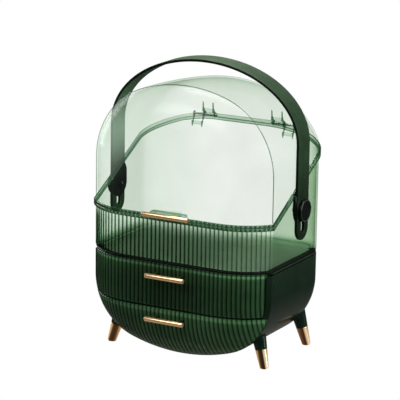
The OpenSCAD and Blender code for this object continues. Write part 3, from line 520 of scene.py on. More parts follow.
def lathe(sh, prof, frame_m, n=48, mat=0, cap0=True, cap1=True):
    "prof is (radius, along) pairs; frame_m maps the axis (along +Z) into place"
    rows = []
    for r, z in prof:
        rows.append(sh.row([tuple(frame_m @ Vector((r * cos(2 * pi * k / n), r * sin(2 * pi * k / n), z))) for k in range(n)]))
    for a, b in zip(rows, rows[1:]): sh.strip(a, b, True, mat)
    if cap0: sh.face(rows[0][::-1], mat)
    if cap1: sh.face(rows[-1], mat)
    return rows

def frame_at(origin, axis):
    z = Vector(axis).normalized()
    x = Vector((0, 1, 0)).cross(z)
    if x.length < 0.1: x = Vector((1, 0, 0)).cross(z)
    x.normalize(); y = z.cross(x)
    mm = Matrix.Identity(4)
    for i in range(3): mm[i][0], mm[i][1], mm[i][2], mm[i][3] = x[i], y[i], z[i], origin[i]
    return mm

# ------------------------------------------------------------------ casing
RING_Z = SPLIT - 0.6
def low_outline(d, y, top=138.4, n1=10, n3=16):
    "belly line inset by d, from the left top round to the right top; in front of the edge plane only the part over RING_Z stays"
    a0 = atan2(BCZ - LCZ, HW - LR)
    a1 = asin((LCZ - RING_Z) / (LR - d))
    pts = []
    for k in range(n1): pts.append((HW - d, top + (LCZ - top) * k / n1))
    angles = [a1 * k / 6 for k in range(6)] + [a1 - 0.0006, a1 + 0.0006] + [a1 + (a0 - a1) * k / 17 for k in range(1, 18)]
    for a in angles: pts.append((HW - LR + (LR - d) * cos(a), LCZ - (LR - d) * sin(a)))
    for k in range(1, n3 + 1):
        a = a0 + (pi / 2 - a0) * k / n3
        pts.append(((BR - d) * cos(a), BCZ - (BR - d) * sin(a)))
    left = [(-x, z) for x, z in pts]
    return [(x, y if z > RING_Z else max(y, EY - 0.3), z) for x, z in left + pts[-2::-1]]

def casing():
    sh = Shell()
    st = []
    for k in range(12, -1, -1):
        a = pi / 2 * k / 12
        st.append((RR - (RR - 3.2) * cos(a), RC + (RR - 3.2) * sin(a)))
    for k in range(1, 9): st.append((3.2, RC + (-58 - RC) * k / 8))
    st += [(5.2, -58.0), (5.2, EY - 0.25), (5.2, -68.9)]
    d0 = 5.2
    for k in range(1, 5):
        a = pi / 2 * k / 4
        st.append((d0 + 0.5 - 0.5 * sin(a) - 0.5, front_y(5.2) + 0.8 - 0.8 * sin(a)))
    for k in range(1, 8):
        d = 5.2 * (1 - k / 7)
        st.append((d, front_y(d)))
    for k in range(1, 9): st.append((0.0, EY + (RC - EY) * k / 8))
    for k in range(1, 15):
        a = pi / 2 * k / 14
        st.append((RR - RR * cos(a), RC + RR * sin(a)))
    rows = [sh.row(low_outline(d, y)) for d, y in st]
    for a, b in zip(rows, rows[1:]): sh.strip(a, b)
    sh.face(rows[-1]); sh.face(rows[0][::-1])
    sh.face([r[0] for r in rows] + [r[-1] for r in rows[::-1]])
    ob = sh.build("casing_shell", [M_case], 30)
    return place(ob, "organizer", ["base_casing"])
casing()

# ------------------------------------------------------------------ plan loops
def plan_loop(i, flutes=0.0, coarse=False):
    """plan outline inset by i, anticlockwise from the left front corner; each item is (x, y)"""
    pts = []
    smax = FH + WR * TH1
    n = int(smax / PITCH * PER)
    cols = [-smax + 0.001] + [k * PITCH / PER for k in range(-n, n + 1)] + [smax - 0.001]
    for s in cols:
        x = dev_x(s)
        h = 0.0
        if flutes:
            side = smax - abs(s)
            h = flute(s + PITCH / 2) * flutes * min(1.0, side / 3.0)
        if abs(s) <= FH: y = FY + i + h; xx = x
        else:
            a = (abs(s) - FH) / WR
            # the inset wing ends where it meets the inset side
            ai = a * asin((REACH - i) / (WR - i)) / TH1
            xx = (1 if s > 0 else -1) * (FH + (WR - i - h) * sin(ai))
            y = WY - (WR - i - h) * cos(ai)
        pts.append((xx, y))
    y0 = WY - (WR - i) * cos(asin((REACH - i) / (WR - i)))
    for k in range(1, 25): pts.append((HW - i, y0 + (RC - y0) * k / 24))
    for k in range(1, 17):
        a = pi / 2 * k / 16
        pts.append((HW - RR + (RR - i) * cos(a), RC + (RR - i) * sin(a)))
    for k in range(1, 13): pts.append(((HW - RR) * (1 - 2 * k / 12), RY - i))
    for k in range(1, 17):
        a = pi / 2 * (1 + k / 16)
        pts.append((-HW + RR + (RR - i) * cos(a), RC + (RR - i) * sin(a)))
    for k in range(1, 24): pts.append((-HW + i, RC + (y0 - RC) * k / 24))
    return pts
NFRONT = 2 * int((FH + WR * TH1) / PITCH * PER) + 3
TURN_Z, CORNER_Z = RIMF + SLOPE * (RC - EY), RIMR - 7.3
def rear_rim(x):
    "height of the rear rim at x"
    t = min(1.0, max(0.0, (1 - abs(x) / (HW - RR)) / 0.52))
    return CORNER_Z + (RIMR - CORNER_Z) * sin(pi / 2 * t)
RIMS = [RIMF] * NFRONT + [RIMF + SLOPE * (RC - EY) * k / 24 for k in range(1, 25)] + [TURN_Z + (CORNER_Z - TURN_Z) * k / 16 for k in range(1, 17)]
RIMS += [rear_rim((HW - RR) * (1 - 2 * k / 12)) for k in range(1, 13)]
RIMS += [TURN_Z + (CORNER_Z - TURN_Z) * (1 - k / 16) for k in range(1, 17)] + [RIMF + SLOPE * (RC - EY) * (1 - k / 24) for k in range(1, 24)]

def cabin():
    sh = Shell()
    L0 = plan_loop(0); LF = plan_loop(0, 1.0); LI = plan_loop(2.6); LO = plan_loop(-LIP); LQ = plan_loop(-LIP + 0.5); LM = plan_loop(0, 0.45)
    def mixed(t):
        return [(a[0] + (b[0] - a[0]) * t, a[1] + (b[1] - a[1]) * t) for a, b in zip(L0, LF)]
    n = len(L0)
    assert n == len(RIMS)
    top = [z - GAP for z in RIMS]
    rows = []
    def add(loop, zs): rows.append(sh.row([(p[0], p[1], z) for p, z in zip(loop, zs)]))
    # the foot of the wall: on the raised edge at the front and right, down on the deck plate at the left and rear
    foot = []
    for i, (x, y) in enumerate(L0):
        q = 0.0
        if i >= NFRONT:
            if y > RY - 30 and x < HW - 6: q = min(1.0, (HW - 6 - x) / 10.0)
            elif x < 0: q = min(1.0, max(0.0, (y - EY - 2) / 8.0))
        foot.append(CZ - 1.2 - 6.1 * q)
    # outside, upwards
    ins = plan_loop(0.6)
    add(ins, foot)
    add(mixed(0.25), [z + 0.6 for z in foot])
    add(mixed(0.7), [z + 1.4 for z in foot])
    add(LF, [z + 2.4 for z in foot])
    for k in range(1, 9):
        add(LF, [z + 2.4 + (t - LIPH - 2.2 - z - 2.4) * k / 8 for t, z in zip(top, foot)])
    add(mixed(0.8), [t - LIPH - 1.3 for t in top])
    add(mixed(0.35), [t - LIPH - 0.5 for t in top])
    add(L0, [t - LIPH for t in top])
    add(LQ, [t - LIPH for t in top])
    add(LO, [t - LIPH + 0.5 for t in top])
    add(LO, [t - 0.5 for t in top])
    add(LQ, [t for t in top])
    add(LI, top)
    for k in range(1, 7): add(LI, [z + 2.6 + (t - z - 2.6) * (1 - k / 6) for t, z in zip(top, foot)])
    # faces under and on the lip take painted shade lines, the front lip the painted highlight dashes of the front rim,
    # and the left wall its painted shade
    for j in range(len(rows) - 1):
        a, b = rows[j], rows[j + 1]
        for i in range(n):
            i2 = (i + 1) % n
            front = i < NFRONT - 1
            if j == 14 or (front and j == 15): mt = 4
            elif front and j in (16, 17): mt = 6
            elif j == 15: mt = 4
            elif 14 <= j <= 18: mt = 2
            elif front: mt = 0 if j < 14 else 3
            else: mt = 7 if L0[i][0] < -80 and i > NFRONT else 1
            sh.face((a[i], a[i2], b[i2], b[i]), mt)
    sh.face(rows[0][::-1], 5); sh.face(rows[-1], 5)
    ob = sh.build("cabin_shell", [M_cabin, M_side, M_lip, M_inner, M_lip_shade, M_plain, M_rimf, M_sidel], 40)
    return place(ob, "organizer", ["cabin"])
cabin()

def deck():
    sh = Shell()
    def lp(i_front, i_side):
        "the plate's edge keeps inside the wall where the wall comes down past it"
        a, b, c = plan_loop(i_front), plan_loop(i_side), plan_loop(max(i_side, 2.95))
        out = []
        for p, q, w, kp in zip(a, b, c, keep):
            q = (q[0] + (w[0] - q[0]) * (1 - kp), q[1] + (w[1] - q[1]) * (1 - kp))
            t = min(1.0, max(0.0, (q[1] - EY - 2) / 1.5))
            out.append((p[0] + (q[0] - p[0]) * t, p[1] + (q[1] - p[1]) * t))
        return out
    base = plan_loop(0.6)
    n = len(base)
    keep = []
    for i, (x, y) in enumerate(base):
        q = 1.0
        if i >= NFRONT:
            if y > RY - 30 and x < HW - 6: q = 1 - min(1.0, (HW - 6 - x) / 10.0)
            elif x < 0: q = 1 - min(1.0, max(0.0, (y - EY - 2) / 8.0))
        keep.append(q)
    rows = []
    def add(f, s_, zs): rows.append(sh.row([(x, y, z) for (x, y), z in zip(lp(f, s_), zs)]))
    add(5.5, 5.5, [138.45] * n)
    add(5.5, 0.9, [138.45] * n)
    add(5.5, 0.6, [138.8] * n)
    add(5.5, 0.6, [140.0 + 2.35 * q for q in keep])
    add(0.9, 0.6, [140.05 + 2.4 * q for q in keep])
    add(0.9, 0.6, [140.1 + 3.5 * q for q in keep])
    add(1.3, 1.0, [140.4 + 3.6 * q for q in keep])
    add(5.5, 5.5, [140.4 + 3.8 * q for q in keep])
    add(5.5, 5.5, [140.4 + 4.2 * q for q in keep])
    add(8.6, 8.6, [140.4 + 4.2 * q for q in keep])
    add(9.1, 9.1, [140.4 + 3.8 * q for q in keep])
    add(9.1, 9.1, [140.4 + 0.6 * q for q in keep])
    add(9.7, 9.7, [140.4] * n)
    NR = len(rows)
    for j, (a, b) in enumerate(zip(rows, rows[1:])):
        for i in range(n):
            i2 = (i + 1) % n
            # the faces round the raised front and right edge take the painted shade of the gap
            dark = j < 6 or keep[i] > 0.04 or keep[i2] > 0.04
            sh.face((a[i], a[i2], b[i2], b[i]), 0 if dark else 1)
    sh.face(rows[0][::-1], 0); sh.face(rows[-1], 1)
    ob = sh.build("deck_plate", [M_gap_shade, M_deck], 40)
    return place(ob, "organizer", ["deck"])
deck()

def bottom_tray():
    sh = Shell()
    def u_row(d, y, top):
        "belly line inset by d, from the right at the top round to the left"
        a0 = atan2(BCZ - LCZ, HW - LR)
        a1 = min(asin(min(1.0, (LCZ - top) / (LR - d))), a0 - 0.02)
        pts = []
        for k in range(13):
            a = a1 + (a0 - a1) * k / 12
            pts.append((HW - LR + (LR - d) * cos(a), LCZ - (LR - d) * sin(a)))
        for k in range(1, 13):
            a = a0 + (pi / 2 - a0) * k / 12
            pts.append(((BR - d) * cos(a), BCZ - (BR - d) * sin(a)))
        pts += [(-x, z) for x, z in pts[-2::-1]]
        return sh.row([(x, y, z) for x, z in pts])
    top = 76.0
    ds = [56, 46, 38, 31, 25, 20, 16, 12.5, 9.6]
    def back(y, t):
        "inset which follows the casing's rounded rear"
        return max(9.4 + t, RR - sqrt((RR - 3.9 - t) ** 2 - max(0.0, y - RC) ** 2))
    outer = [u_row(d, front_y(d, 3.9), top) for d in ds] + [u_row(back(y, 0), y, top) for y in (-50, -20, 20, 60, 68, 75, 81, 86, 90, 93, 95)]
    outer += [u_row(back(95.7, 0) + 0.3, 95.7, top), u_row(back(96, 0) + 0.9, 96, top)]
    inner = [u_row(d + 2, front_y(d + 2, 5.9), top) for d in ds] + [u_row(back(y, 2), y, top) for y in (-50, -20, 20, 60, 68, 75, 80, 84, 88, 91, 92.5)]
    inner += [u_row(back(93.4, 2) + 0.5, 93.4, top), u_row(back(94, 2) + 1.5, 94, top)]
    for a, b in zip(outer, outer[1:]): sh.strip(a, b)
    for a, b in zip(inner, inner[1:]): sh.strip(b, a)
    sh.face(outer[0]); sh.face(outer[-1][::-1]); sh.face(inner[0][::-1]); sh.face(inner[-1])
    for e in (0, -1):
        for j in range(len(outer) - 1): sh.face((outer[j][e], outer[j + 1][e], inner[j + 1][e], inner[j][e]))
    for o_, i_ in ((outer[0], inner[0]), (outer[-1], inner[-1])): sh.face((o_[0], o_[-1], i_[-1], i_[0]))
    ob = sh.build("bottom_drawer_tray", [M_tray], 35)
    return place(ob, "bottom_drawer", ["bottom_tray"])
bottom_tray()

# ------------------------------------------------------------------ lid
def lid():
    sh = Shell()
    st = []
    for k in range(19): st.append((0, k / 18))
    for k in range(1, 25): st.append((1, EY + (RC - EY) * k / 24))
    for k in range(1, 17): st.append((2, pi / 2 * k / 16))
    H = 44
    def sx(s, i):
        if s[0] == 0: return FH + (WR - i) * sin(s[1] * asin((REACH - i) / (WR - i)))
        if s[0] == 1: return HW - i
        return HW - RR + (RR - i) * cos(s[1])
    def sy(s, i):
        if s[0] == 0: return WY - (WR - i) * cos(s[1] * asin((REACH - i) / (WR - i)))
        if s[0] == 1: return s[1]
        return RC + (RR - i) * sin(s[1])
    up_a = atan2(UCZ - CCZ, HW - UR)
    def half(s, i, z0):
        x, y = sx(s, i), sy(s, i)
        d = HW - x if s[0] == 0 else i
        fall = TZ - i - roof(y, i)
        a0 = 0 if x > HW - d - 0.01 else acos(max(-1, min(1, (x - HW + UR) / (UR - d))))
        pts = [(x, y, z0), (x, y, z0 + 0.15)]
        for k in range(H + 1):
            a = a0 + (pi / 2 - a0) * k / H
            if a < up_a: px, pz = HW - UR + (UR - d) * cos(a), UCZ + (UR - d) * sin(a)
            else: px, pz = (CR - d) * cos(a), CCZ + (CR - d) * sin(a)
            if k == H: px = 0.0
            pts.append((px, y, max(pz - fall, z0 + 0.3 + 0.03 * k)))
        return pts
    def section(s, i, z0):
        h = half(s, i, z0)
        return h + [(-x, y, z) for x, y, z in h[-2::-1]]
    loops = []
    for s in st:
        yl = sy(s, -LIP)
        rz = RIMF if s[0] == 0 else RIMF + SLOPE * (s[1] - EY) if s[0] == 1 else TURN_Z + (CORNER_Z - TURN_Z) * s[1] / (pi / 2)
        lx, lz = sx(s, -LIP), rz + GAP
        o = section(s, 0, lz + LIPH)
        n = section(s, 2.6, lz)
        lx2, yl2 = sx(s, -LIP + 0.5), sy(s, -LIP + 0.5)
        lip_l = [(-lx2, yl2, lz + LIPH), (-lx, yl, lz + LIPH - 0.5), (-lx, yl, lz + 0.5), (-lx2, yl2, lz)]
        lip_r = [(-x, y, z) for x, y, z in lip_l[::-1]]
        loops.append(sh.row(o + lip_l + n[::-1] + lip_r))
    P = len(section(st[0], 0, 209.4))
    NL = len(loops[0])
    for j, (a, b) in enumerate(zip(loops, loops[1:])):
        for i in range(NL):
            i2 = (i + 1) % NL
            lipface = (P - 1 <= i <= P + 3) or i >= 2 * P + 3
            mt = 1 if lipface else 0
            # the lid lip's front faces take the front rim's painted highlight dashes, its side edges painted shade
            # lines
            if j < 18 and (P <= i <= P + 2 or 2 * P + 4 <= i <= 2 * P + 6): mt = 3
            elif j >= 18 and i in (P - 1, P, 2 * P + 6, 2 * P + 7): mt = 4
            sh.face((a[i], a[i2], b[i2], b[i]), mt)
    def cap(lp, xs, ys, sharp=0.5, lip=1):
        o, L1, inn, R1 = lp[:P], lp[P:P + 4], lp[P + 4:P + 4 + P], lp[P + 4 + P:]
        chain_l = [o[-1]] + L1 + [inn[0]]
        chain_r = [o[0]] + R1[::-1] + [inn[-1]]
        y0, y1, yi = ys
        mids = []
        for q in range(6):
            row = []
            for x in xs:
                z = rear_rim(x) + GAP
                row.append([(x, y0, z + LIPH), (x, y1 - sharp, z + LIPH), (x, y1, z + LIPH - sharp), (x, y1, z + sharp), (x, y1 - sharp, z), (x, yi, z)][q])
            mids.append(sh.row(row))
        sh.face(list(o) + mids[0][::-1], 0)
        for q in range(5):
            u = [chain_l[q]] + mids[q] + [chain_r[q]]; v = [chain_l[q + 1]] + mids[q + 1] + [chain_r[q + 1]]
            for a, b, c, d in zip(u, u[1:], v[1:], v): sh.face((a, b, c, d), lip if 1 <= q <= 3 else 1)
        sh.face(list(inn[::-1]) + mids[5], 0)
    cap(loops[0], [], (0, 0, 0), lip=3)
    cap(loops[-1], [-96 + 8 * k for k in range(1, 24)], (RY, RY + LIP, RY - 2.6))
    # thin tube along the crease where the front plate turns into the sides; it carries the painted dark line of the
    # crease
    egg = half((1, EY), 0.75, RIMF + 5.0)[1:]
    egg = egg + [(-x, y, z) for x, y, z in egg[-2::-1]]
    egg = [p for p in egg if p[2] > RIMF + 4.8]
    tubes = []
    for k, p in enumerate(egg):
        a, b = egg[max(0, k - 1)], egg[min(len(egg) - 1, k + 1)]
        dx, dz = b[0] - a[0], b[2] - a[2]
        q = sqrt(dx * dx + dz * dz) or 1.0
        nx, nz = dz / q, -dx / q
        tubes.append(sh.row([(p[0] + nx * 0.62 * cos(w), EY + 0.62 * sin(w), p[2] + nz * 0.62 * cos(w)) for w in [2 * pi * j / 8 for j in range(8)]]))
    for a, b in zip(tubes, tubes[1:]): sh.strip(a, b, True, 2)
    sh.face(tubes[0][::-1], 2); sh.face(tubes[-1], 2)
    ob = sh.build("lid_shell", [M_lid, M_lidlip, M_crease_shade, M_rimf, M_lip_shade], 36)
    return place(ob, "lid", ["lid_hood"])
lid()

# ------------------------------------------------------------------ round pieces
def rounded_rod(sh, p0, axis, length, r, e=0.9, n=40, mat=0):
    f = frame_at(p0, axis)
    prof = []
    for k in range(5):
        a = pi / 2 * k / 4
        prof.append((r - e + e * sin(a), e - e * cos(a)))
    for k in range(4, -1, -1):
        a = pi / 2 * k / 4
        prof.append((r - e + e * sin(a), length - e + e * cos(a)))
    lathe(sh, prof, f, n, mat)

def bar(name, length, z, posts, body, node, post_z=None, post_r=3.0, post_end=FY + 1.2, post_mat=None):
    sh = Shell()
    rounded_rod(sh, (-length / 2, BARY, z), (1, 0, 0), length, 3.4)
    for sx_ in (-1, 1):
        f = frame_at((sx_ * 20, BARY + 1.0, post_z if post_z else z), (0, 1, 0))
        H = post_end - BARY - 1.0
        lathe(sh, [(post_r, 0), (post_r, H - 0.8), (post_r + 0.9, H - 0.2), (post_r + 0.9, H)], f, 28, 1)
    ob = sh.build(name, [M_gold, post_mat or M_front], 35)
    return place(ob, body, [node])
bar("middle_pull", 60, 126.4, True, "middle_drawer", "middle_pull_bar")
bar("bottom_pull", 60, 64.4, True, "bottom_drawer", "bottom_pull_bar")
bar("lid_pull", 72, 213.0, True, "lid", "lid_pull_bar", post_z=213.0, post_r=1.8, post_end=BARY + 9.5, post_mat=M_tab)

# legs
def leg(sx_, rear, nm):
    fx, fy = sx_ * 122.95, (84.0 if rear else -45.5)
    ax = Vector((-sx_ * 0.27, -0.09 if rear else 0.09, 1)).normalized()
    f = frame_at((fx, fy, 0), ax)
    r0, g = 6.0, 2.35 / 26.5
    def rad(t): return r0 + g * t
    n = 48
    sh = Shell()
    prof = [(rad(0) - 1.1, 0.02), (rad(0) - 0.5, 0.18), (rad(0) - 0.12, 0.7), (rad(1.4), 1.4)]
    for k in range(1, 11): prof.append((rad(25.0 * k / 10), 25.0 * k / 10))
    prof += [(rad(26.0) - 0.02, 26.0), (rad(26.4) - 0.45, 26.4)]
    rows = []
    for i, (r, t) in enumerate(prof):
        pts = []
        for k in range(n):
            p = f @ Vector((r * cos(2 * pi * k / n), r * sin(2 * pi * k / n), t))
            if i < 4: p.z = max(p.z, 0.0) if i else 0.0
            if i == 1: p.z = max(0.12, p.z)
            pts.append(tuple(p))
        rows.append(sh.row(pts))
    for a, b in zip(rows, rows[1:]): sh.strip(a, b, True)
    sh.face(rows[0][::-1]); sh.face(rows[-1])
    ob = sh.build("tip_" + nm, [TIPS[nm]], 40)
    place(ob, "organizer", ["leg_tip_" + nm])
    sh = Shell()
    def t_end(k):
        t = 28.0
        while t < 70:
            p = f @ Vector((rad(t) * cos(2 * pi * k / n), rad(t) * sin(2 * pi * k / n), t))
            corner = RR - sqrt(max(0.0, RR ** 2 - (p.y - RC) ** 2)) if p.y > RC else 0.0
            if low_d(p.x, p.z) - corner > 1.2: break
            t += 0.25
        return t
    te = [t_end(k) for k in range(n)]
    rows = []
    for j, (dr, q) in enumerate([(-0.45, None), (-0.02, None)]):
        t = 26.62 + 0.4 * j
        rows.append(sh.row([tuple(f @ Vector(((rad(t) + dr) * cos(2 * pi * k / n), (rad(t) + dr) * sin(2 * pi * k / n), t))) for k in range(n)]))
    for q in range(1, 15):
        pts = []
        for k in range(n):
            t = 27.02 + (te[k] - 27.02) * q / 14
            fl = max(0.0, 1 - (te[k] - t) / 5.0)
            r = rad(t) + 0.5 * fl ** 2.5
            pts.append(tuple(f @ Vector((r * cos(2 * pi * k / n), r * sin(2 * pi * k / n), t))))
        rows.append(sh.row(pts))
    for a, b in zip(rows, rows[1:]): sh.strip(a, b, True)
    sh.face(rows[0][::-1]); sh.face(rows[-1])
    ob = sh.build("leg_" + nm + "_upper", [M_leg], 50)
    place(ob, "organizer", ["leg_" + nm])
for sx_, rear, nm in [(-1, 0, "front_left"), (1, 0, "front_right"), (-1, 1, "rear_left"), (1, 1, "rear_right")]:
    leg(sx_, rear, nm)

# ------------------------------------------------------------------ handle
PY, PZ = 8.0, 217.0
SXO, ARCZ, HTOP, ST = 149.1, 309.4, 413.9, 4.0

def plate(name, outer, holes, x0, x1, mats, sgn=1, bevel=0.6):
    "flat plate in the YZ plane between x0 and x1, with holes"
    bm = bmesh.new()
    def ring(pts):
        vs = [bm.verts.new((sgn * x0 / 1000, p[0] / 1000, p[1] / 1000)) for p in pts]
        return [bm.edges.new((vs[i], vs[(i + 1) % len(vs)])) for i in range(len(vs))]
    ed = ring(outer)
    for h in holes: ed += ring(h)
    res = bmesh.ops.triangle_fill(bm, use_beauty=True, use_dissolve=True, edges=ed)
    faces = [g for g in res["geom"] if isinstance(g, bmesh.types.BMFace)]
    bmesh.ops.dissolve_limit(bm, angle_limit=0.01, verts=bm.verts, edges=bm.edges)
    faces = list(bm.faces)
    ex = bmesh.ops.extrude_face_region(bm, geom=faces)
    vs = [g for g in ex["geom"] if isinstance(g, bmesh.types.BMVert)]
    bmesh.ops.translate(bm, verts=vs, vec=(sgn * (x1 - x0) / 1000, 0, 0))
    bmesh.ops.recalc_face_normals(bm, faces=bm.faces)
    me = bpy.data.meshes.new(name); bm.to_mesh(me); bm.free()
    for mt in mats: me.materials.append(mt)
    ob = bpy.data.objects.new(name, me); scene.collection.objects.link(ob)
    for p in me.polygons: p.use_smooth = True
    me.set_sharp_from_angle(angle=radians(30))
    if bevel: add_bevel(ob, bevel)
    return ob

def arc(cy, cz, r, a0, a1, n): return [(cy + r * cos(radians(a0 + (a1 - a0) * k / n)), cz + r * sin(radians(a0 + (a1 - a0) * k / n))) for k in range(n + 1)]

def merge(name, obs, angle=32):
    "one object out of several, with their modifiers applied"
    dg = bpy.context.evaluated_depsgraph_get()
    bm = bmesh.new()
    mats = []
    for o in obs:
        ev = o.evaluated_get(dg)
        me = bpy.data.meshes.new_from_object(ev)
        off = len(bm.faces)
        idx = []
        for mt in me.materials:
            if mt not in mats: mats.append(mt)
            idx.append(mats.index(mt))
        bm.from_mesh(me)
        bm.faces.ensure_lookup_table()
        for fct in bm.faces[off:]: fct.material_index = idx[fct.material_index] if idx else 0
        bpy.data.meshes.remove(me)
    me = bpy.data.meshes.new(name); bm.to_mesh(me); bm.free()
    for mt in mats: me.materials.append(mt)
    for o in obs: bpy.data.objects.remove(o, do_unlink=True)
    ob = bpy.data.objects.new(name, me); scene.collection.objects.link(ob)
    for p in me.polygons: p.use_smooth = True
    me.set_sharp_from_angle(angle=radians(angle))
    return ob

def strap():
    parts = []
    for sgn in (-1, 1):
        outer = arc(PY, 192, 17, 180, 360, 32) + [(PY + 17, 236.0), (PY - 17, 236.0)]
        hole = arc(PY, PZ - 26.4, 4.7, 180, 360, 20) + arc(PY, PZ, 4.7, 0, 180, 20)
        parts.append(plate("arm", outer, [hole], SXO - ST, SXO, [M_handle], sgn, 0.5))
    # swept arch with a rounded section
    sh = Shell()
    path = []
    for k in range(9): path.append((-SXO, 235.0 + (ARCZ - 235.0) * k / 8, -1.0, 0.0))
    b = HTOP - ARCZ
    for k in range(1, 120):
        a = pi - pi * k / 120
        nx, nz = cos(a) / SXO, sin(a) / b
        q = sqrt(nx * nx + nz * nz)
        path.append((SXO * cos(a), ARCZ + b * sin(a), nx / q, nz / q))
    for k in range(9): path.append((SXO, ARCZ + (235.0 - ARCZ) * k / 8, 1.0, 0.0))
    sec = []
    e = 0.9
    W, T = 17.0, ST
    for cx, cy, a0 in [(W - e, -e, 0), (-(W - e), -e, 90), (-(W - e), -(T - e), 180), (W - e, -(T - e), 270)]:
        for k in range(5):
            a = radians(a0 + 90 * k / 4)
            sec.append((cx + e * cos(a), cy + e * sin(a)))
    rows = []
    for x, z, nx, nz in path:
        rows.append(sh.row([(x + nx * n_, PY + w, z + nz * n_) for w, n_ in sec]))
    for a_, b_ in zip(rows, rows[1:]): sh.strip(a_, b_, True)
    sh.face(rows[0][::-1]); sh.face(rows[-1])
    parts.append(sh.build("arch", [M_handle], 40))
    ob = merge("handle_arch", parts, 40)
    me = ob.data
    me.materials.append(M_strap_lit); me.materials.append(M_strap_shade)
    # inner faces take the lit copy of the handle plastic (painted light), the narrow faces across Y the shaded copy
    # (painted shade)
    for pl in me.polygons:
        c, nn = pl.center, pl.normal
        if c.z < ARCZ / 1000: inward = nn.x * (1 if c.x < 0 else -1)
        else: inward = -(nn.x * cos(atan2((c.z * 1000 - ARCZ) / (HTOP - ARCZ), c.x * 1000 / SXO)) + nn.z * sin(atan2((c.z * 1000 - ARCZ) / (HTOP - ARCZ), c.x * 1000 / SXO)))
        if inward > 0.8: pl.material_index = 1
        elif abs(nn.y) > 0.75: pl.material_index = 2
    return place(ob, "handle_strap", ["handle_strap"])
strap()

def keepers():
    for sgn, nm in ((-1, "left"), (1, "right")):
        pill = arc(PY, PZ + 1, 20, 180, 360, 40) + arc(PY, PZ + 14, 20, 0, 180, 40)
        bore = arc(PY, PZ, 3.15, 0, 360, 32)[:-1]
        parts = [plate("kq", pill, [bore], 143.35, 144.85, [M_black], sgn, 0.5)]
        for q in (-1, 1):
            y1 = 17.4
            pts = []
            for k in range(13):
                t = asin(y1 / 20) + (pi / 2 - asin(y1 / 20)) * k / 12
                pts.append((PY + q * 20 * sin(t), PZ + 14 + 20 * cos(t)))
            for k in range(12, -1, -1):
                t = asin(y1 / 20) + (pi / 2 - asin(y1 / 20)) * k / 12
                pts.append((PY + q * 20 * sin(t), PZ + 1 - 20 * cos(t)))
            parts.append(plate("kr", pts, [], 144.6, 147.35, [M_black], sgn, 0.3))
        parts.append(plate("kb", arc(PY, PZ, 4.5, 0, 360, 40)[:-1], [bore], 144.6, 151.15, [M_black], sgn, 0.2))
        ob = merge("keeper_body_" + nm, parts, 35)
        place(ob, "handle_keepers", ["keeper_" + nm])
        sh = Shell()
        f = frame_at((sgn * 151.45, PY, PZ), (sgn, 0, 0))
        prof = [(15.4, 0.05), (15.9, 0.4), (16.0, 1.0), (16.0, 1.9), (15.7, 2.6), (15.1, 2.95), (14.5, 3.02), (14.0, 2.85), (13.6, 2.4), (13.3, 2.0), (12.6, 1.85), (9.0, 2.05), (4.0, 2.2), (0.5, 2.25)]
        rr = lathe(sh, prof, f, 72)
        ob = sh.build("button_face_" + nm, [M_black, M_ring_highlight], 24)
        # faces on the ring at 14.2 to 15.3 mm take the painted highlight
        for pl in ob.data.polygons:
            rad = sqrt((pl.center.y * 1000 - PY) ** 2 + (pl.center.z * 1000 - PZ) ** 2)
            if 14.2 < rad < 15.3 and abs(pl.center.x) > 0.1538: pl.material_index = 1
        place(ob, "organizer", ["button_cap_" + nm])
        sh = Shell()
        f = frame_at((sgn * 135.85, PY, PZ), (sgn, 0, 0))
        lathe(sh, [(5.4, 0.0), (6.4, 0.25), (7.0, 0.8), (7.0, 1.5), (3.0, 1.52), (3.0, 16.6), (2.7, 16.7)], f, 40)
        ob = sh.build("pivot_pin_mesh_" + nm, [M_black], 30)
        place(ob, "organizer", ["pivot_pin_" + nm])
keepers()

# hinge leaves: a thin plate on the rear wall and two fins that carry the pin
def leaf(name, ears, body, node, up_):
    hy, hz, q = 112.5, 308.5, RY
    parts = []
    for sgn in (-1, 1):
        for e in ears:
            if up_: pts = [(q + 0.06, hz + 4.9), (q + 0.06, hz + 19.6), (q + 0.9, hz + 19.6), (q + 2.2, hz + 11), (q + 5.2, hz + 6), (hy + 3.1, hz + 3.3), (hy + 3.4, hz + 1.2), (hy, hz - 3.4), (hy - 3.1, hz - 1.0), (q + 3.3, hz + 1.2), (q + 3.3, hz + 4.9)]
            else: pts = [(q + 0.06, hz - 18), (q + 0.06, hz - 9.6), (q + 3.3, hz - 9.6), (q + 3.3, hz - 1.2), (hy - 2.4, hz + 2.4), (hy, hz + 3.4), (hy + 2.4, hz + 2.4), (hy + 3.4, hz - 1.2), (q + 4.6, hz - 9), (q + 1.6, hz - 15), (q + 0.9, hz - 18)]
            if sgn > 0: pts = list(pts)
            parts.append(plate("fin", pts, [arc(hy, hz, 1.65, 0, 360, 24)[:-1]], e - 0.8, e + 0.8, [M_ear], sgn, 0.2))
        z0 = hz + 5.0 if up_ else hz - 15.0
        parts.append(plate("lf", [(q + 0.06, z0), (q + 1.3, z0), (q + 1.3, z0 + 5), (q + 0.06, z0 + 5)], [], ears[0] - 1.2, ears[1] + 1.2, [M_leaf], sgn, 0.2))
    ob = merge(name, parts, 35)
    place(ob, body, [node])
leaf("cabin_hinge_leaves", (65.6, 81.0), "organizer", "cabin_hinge_brackets", False)
leaf("lid_hinge_leaves", (47.5, 63.6), "lid", "lid_hinge_brackets", True)
def cabin_screws():
    sh = Shell()
    for x in (-112, 112):
        for y in (-44, 78):
            lathe(sh, [(3.2, 0.0), (3.6, 0.3), (3.6, 1.5), (1.9, 1.7), (1.9, 4.6), (1.5, 4.9)], frame_at((x, y, 136.7), (0, 0, 1)), 28)
    place(sh.build("cabin_screw_set", [M_steel], 30), "organizer", ["cabin_screws"])
cabin_screws()
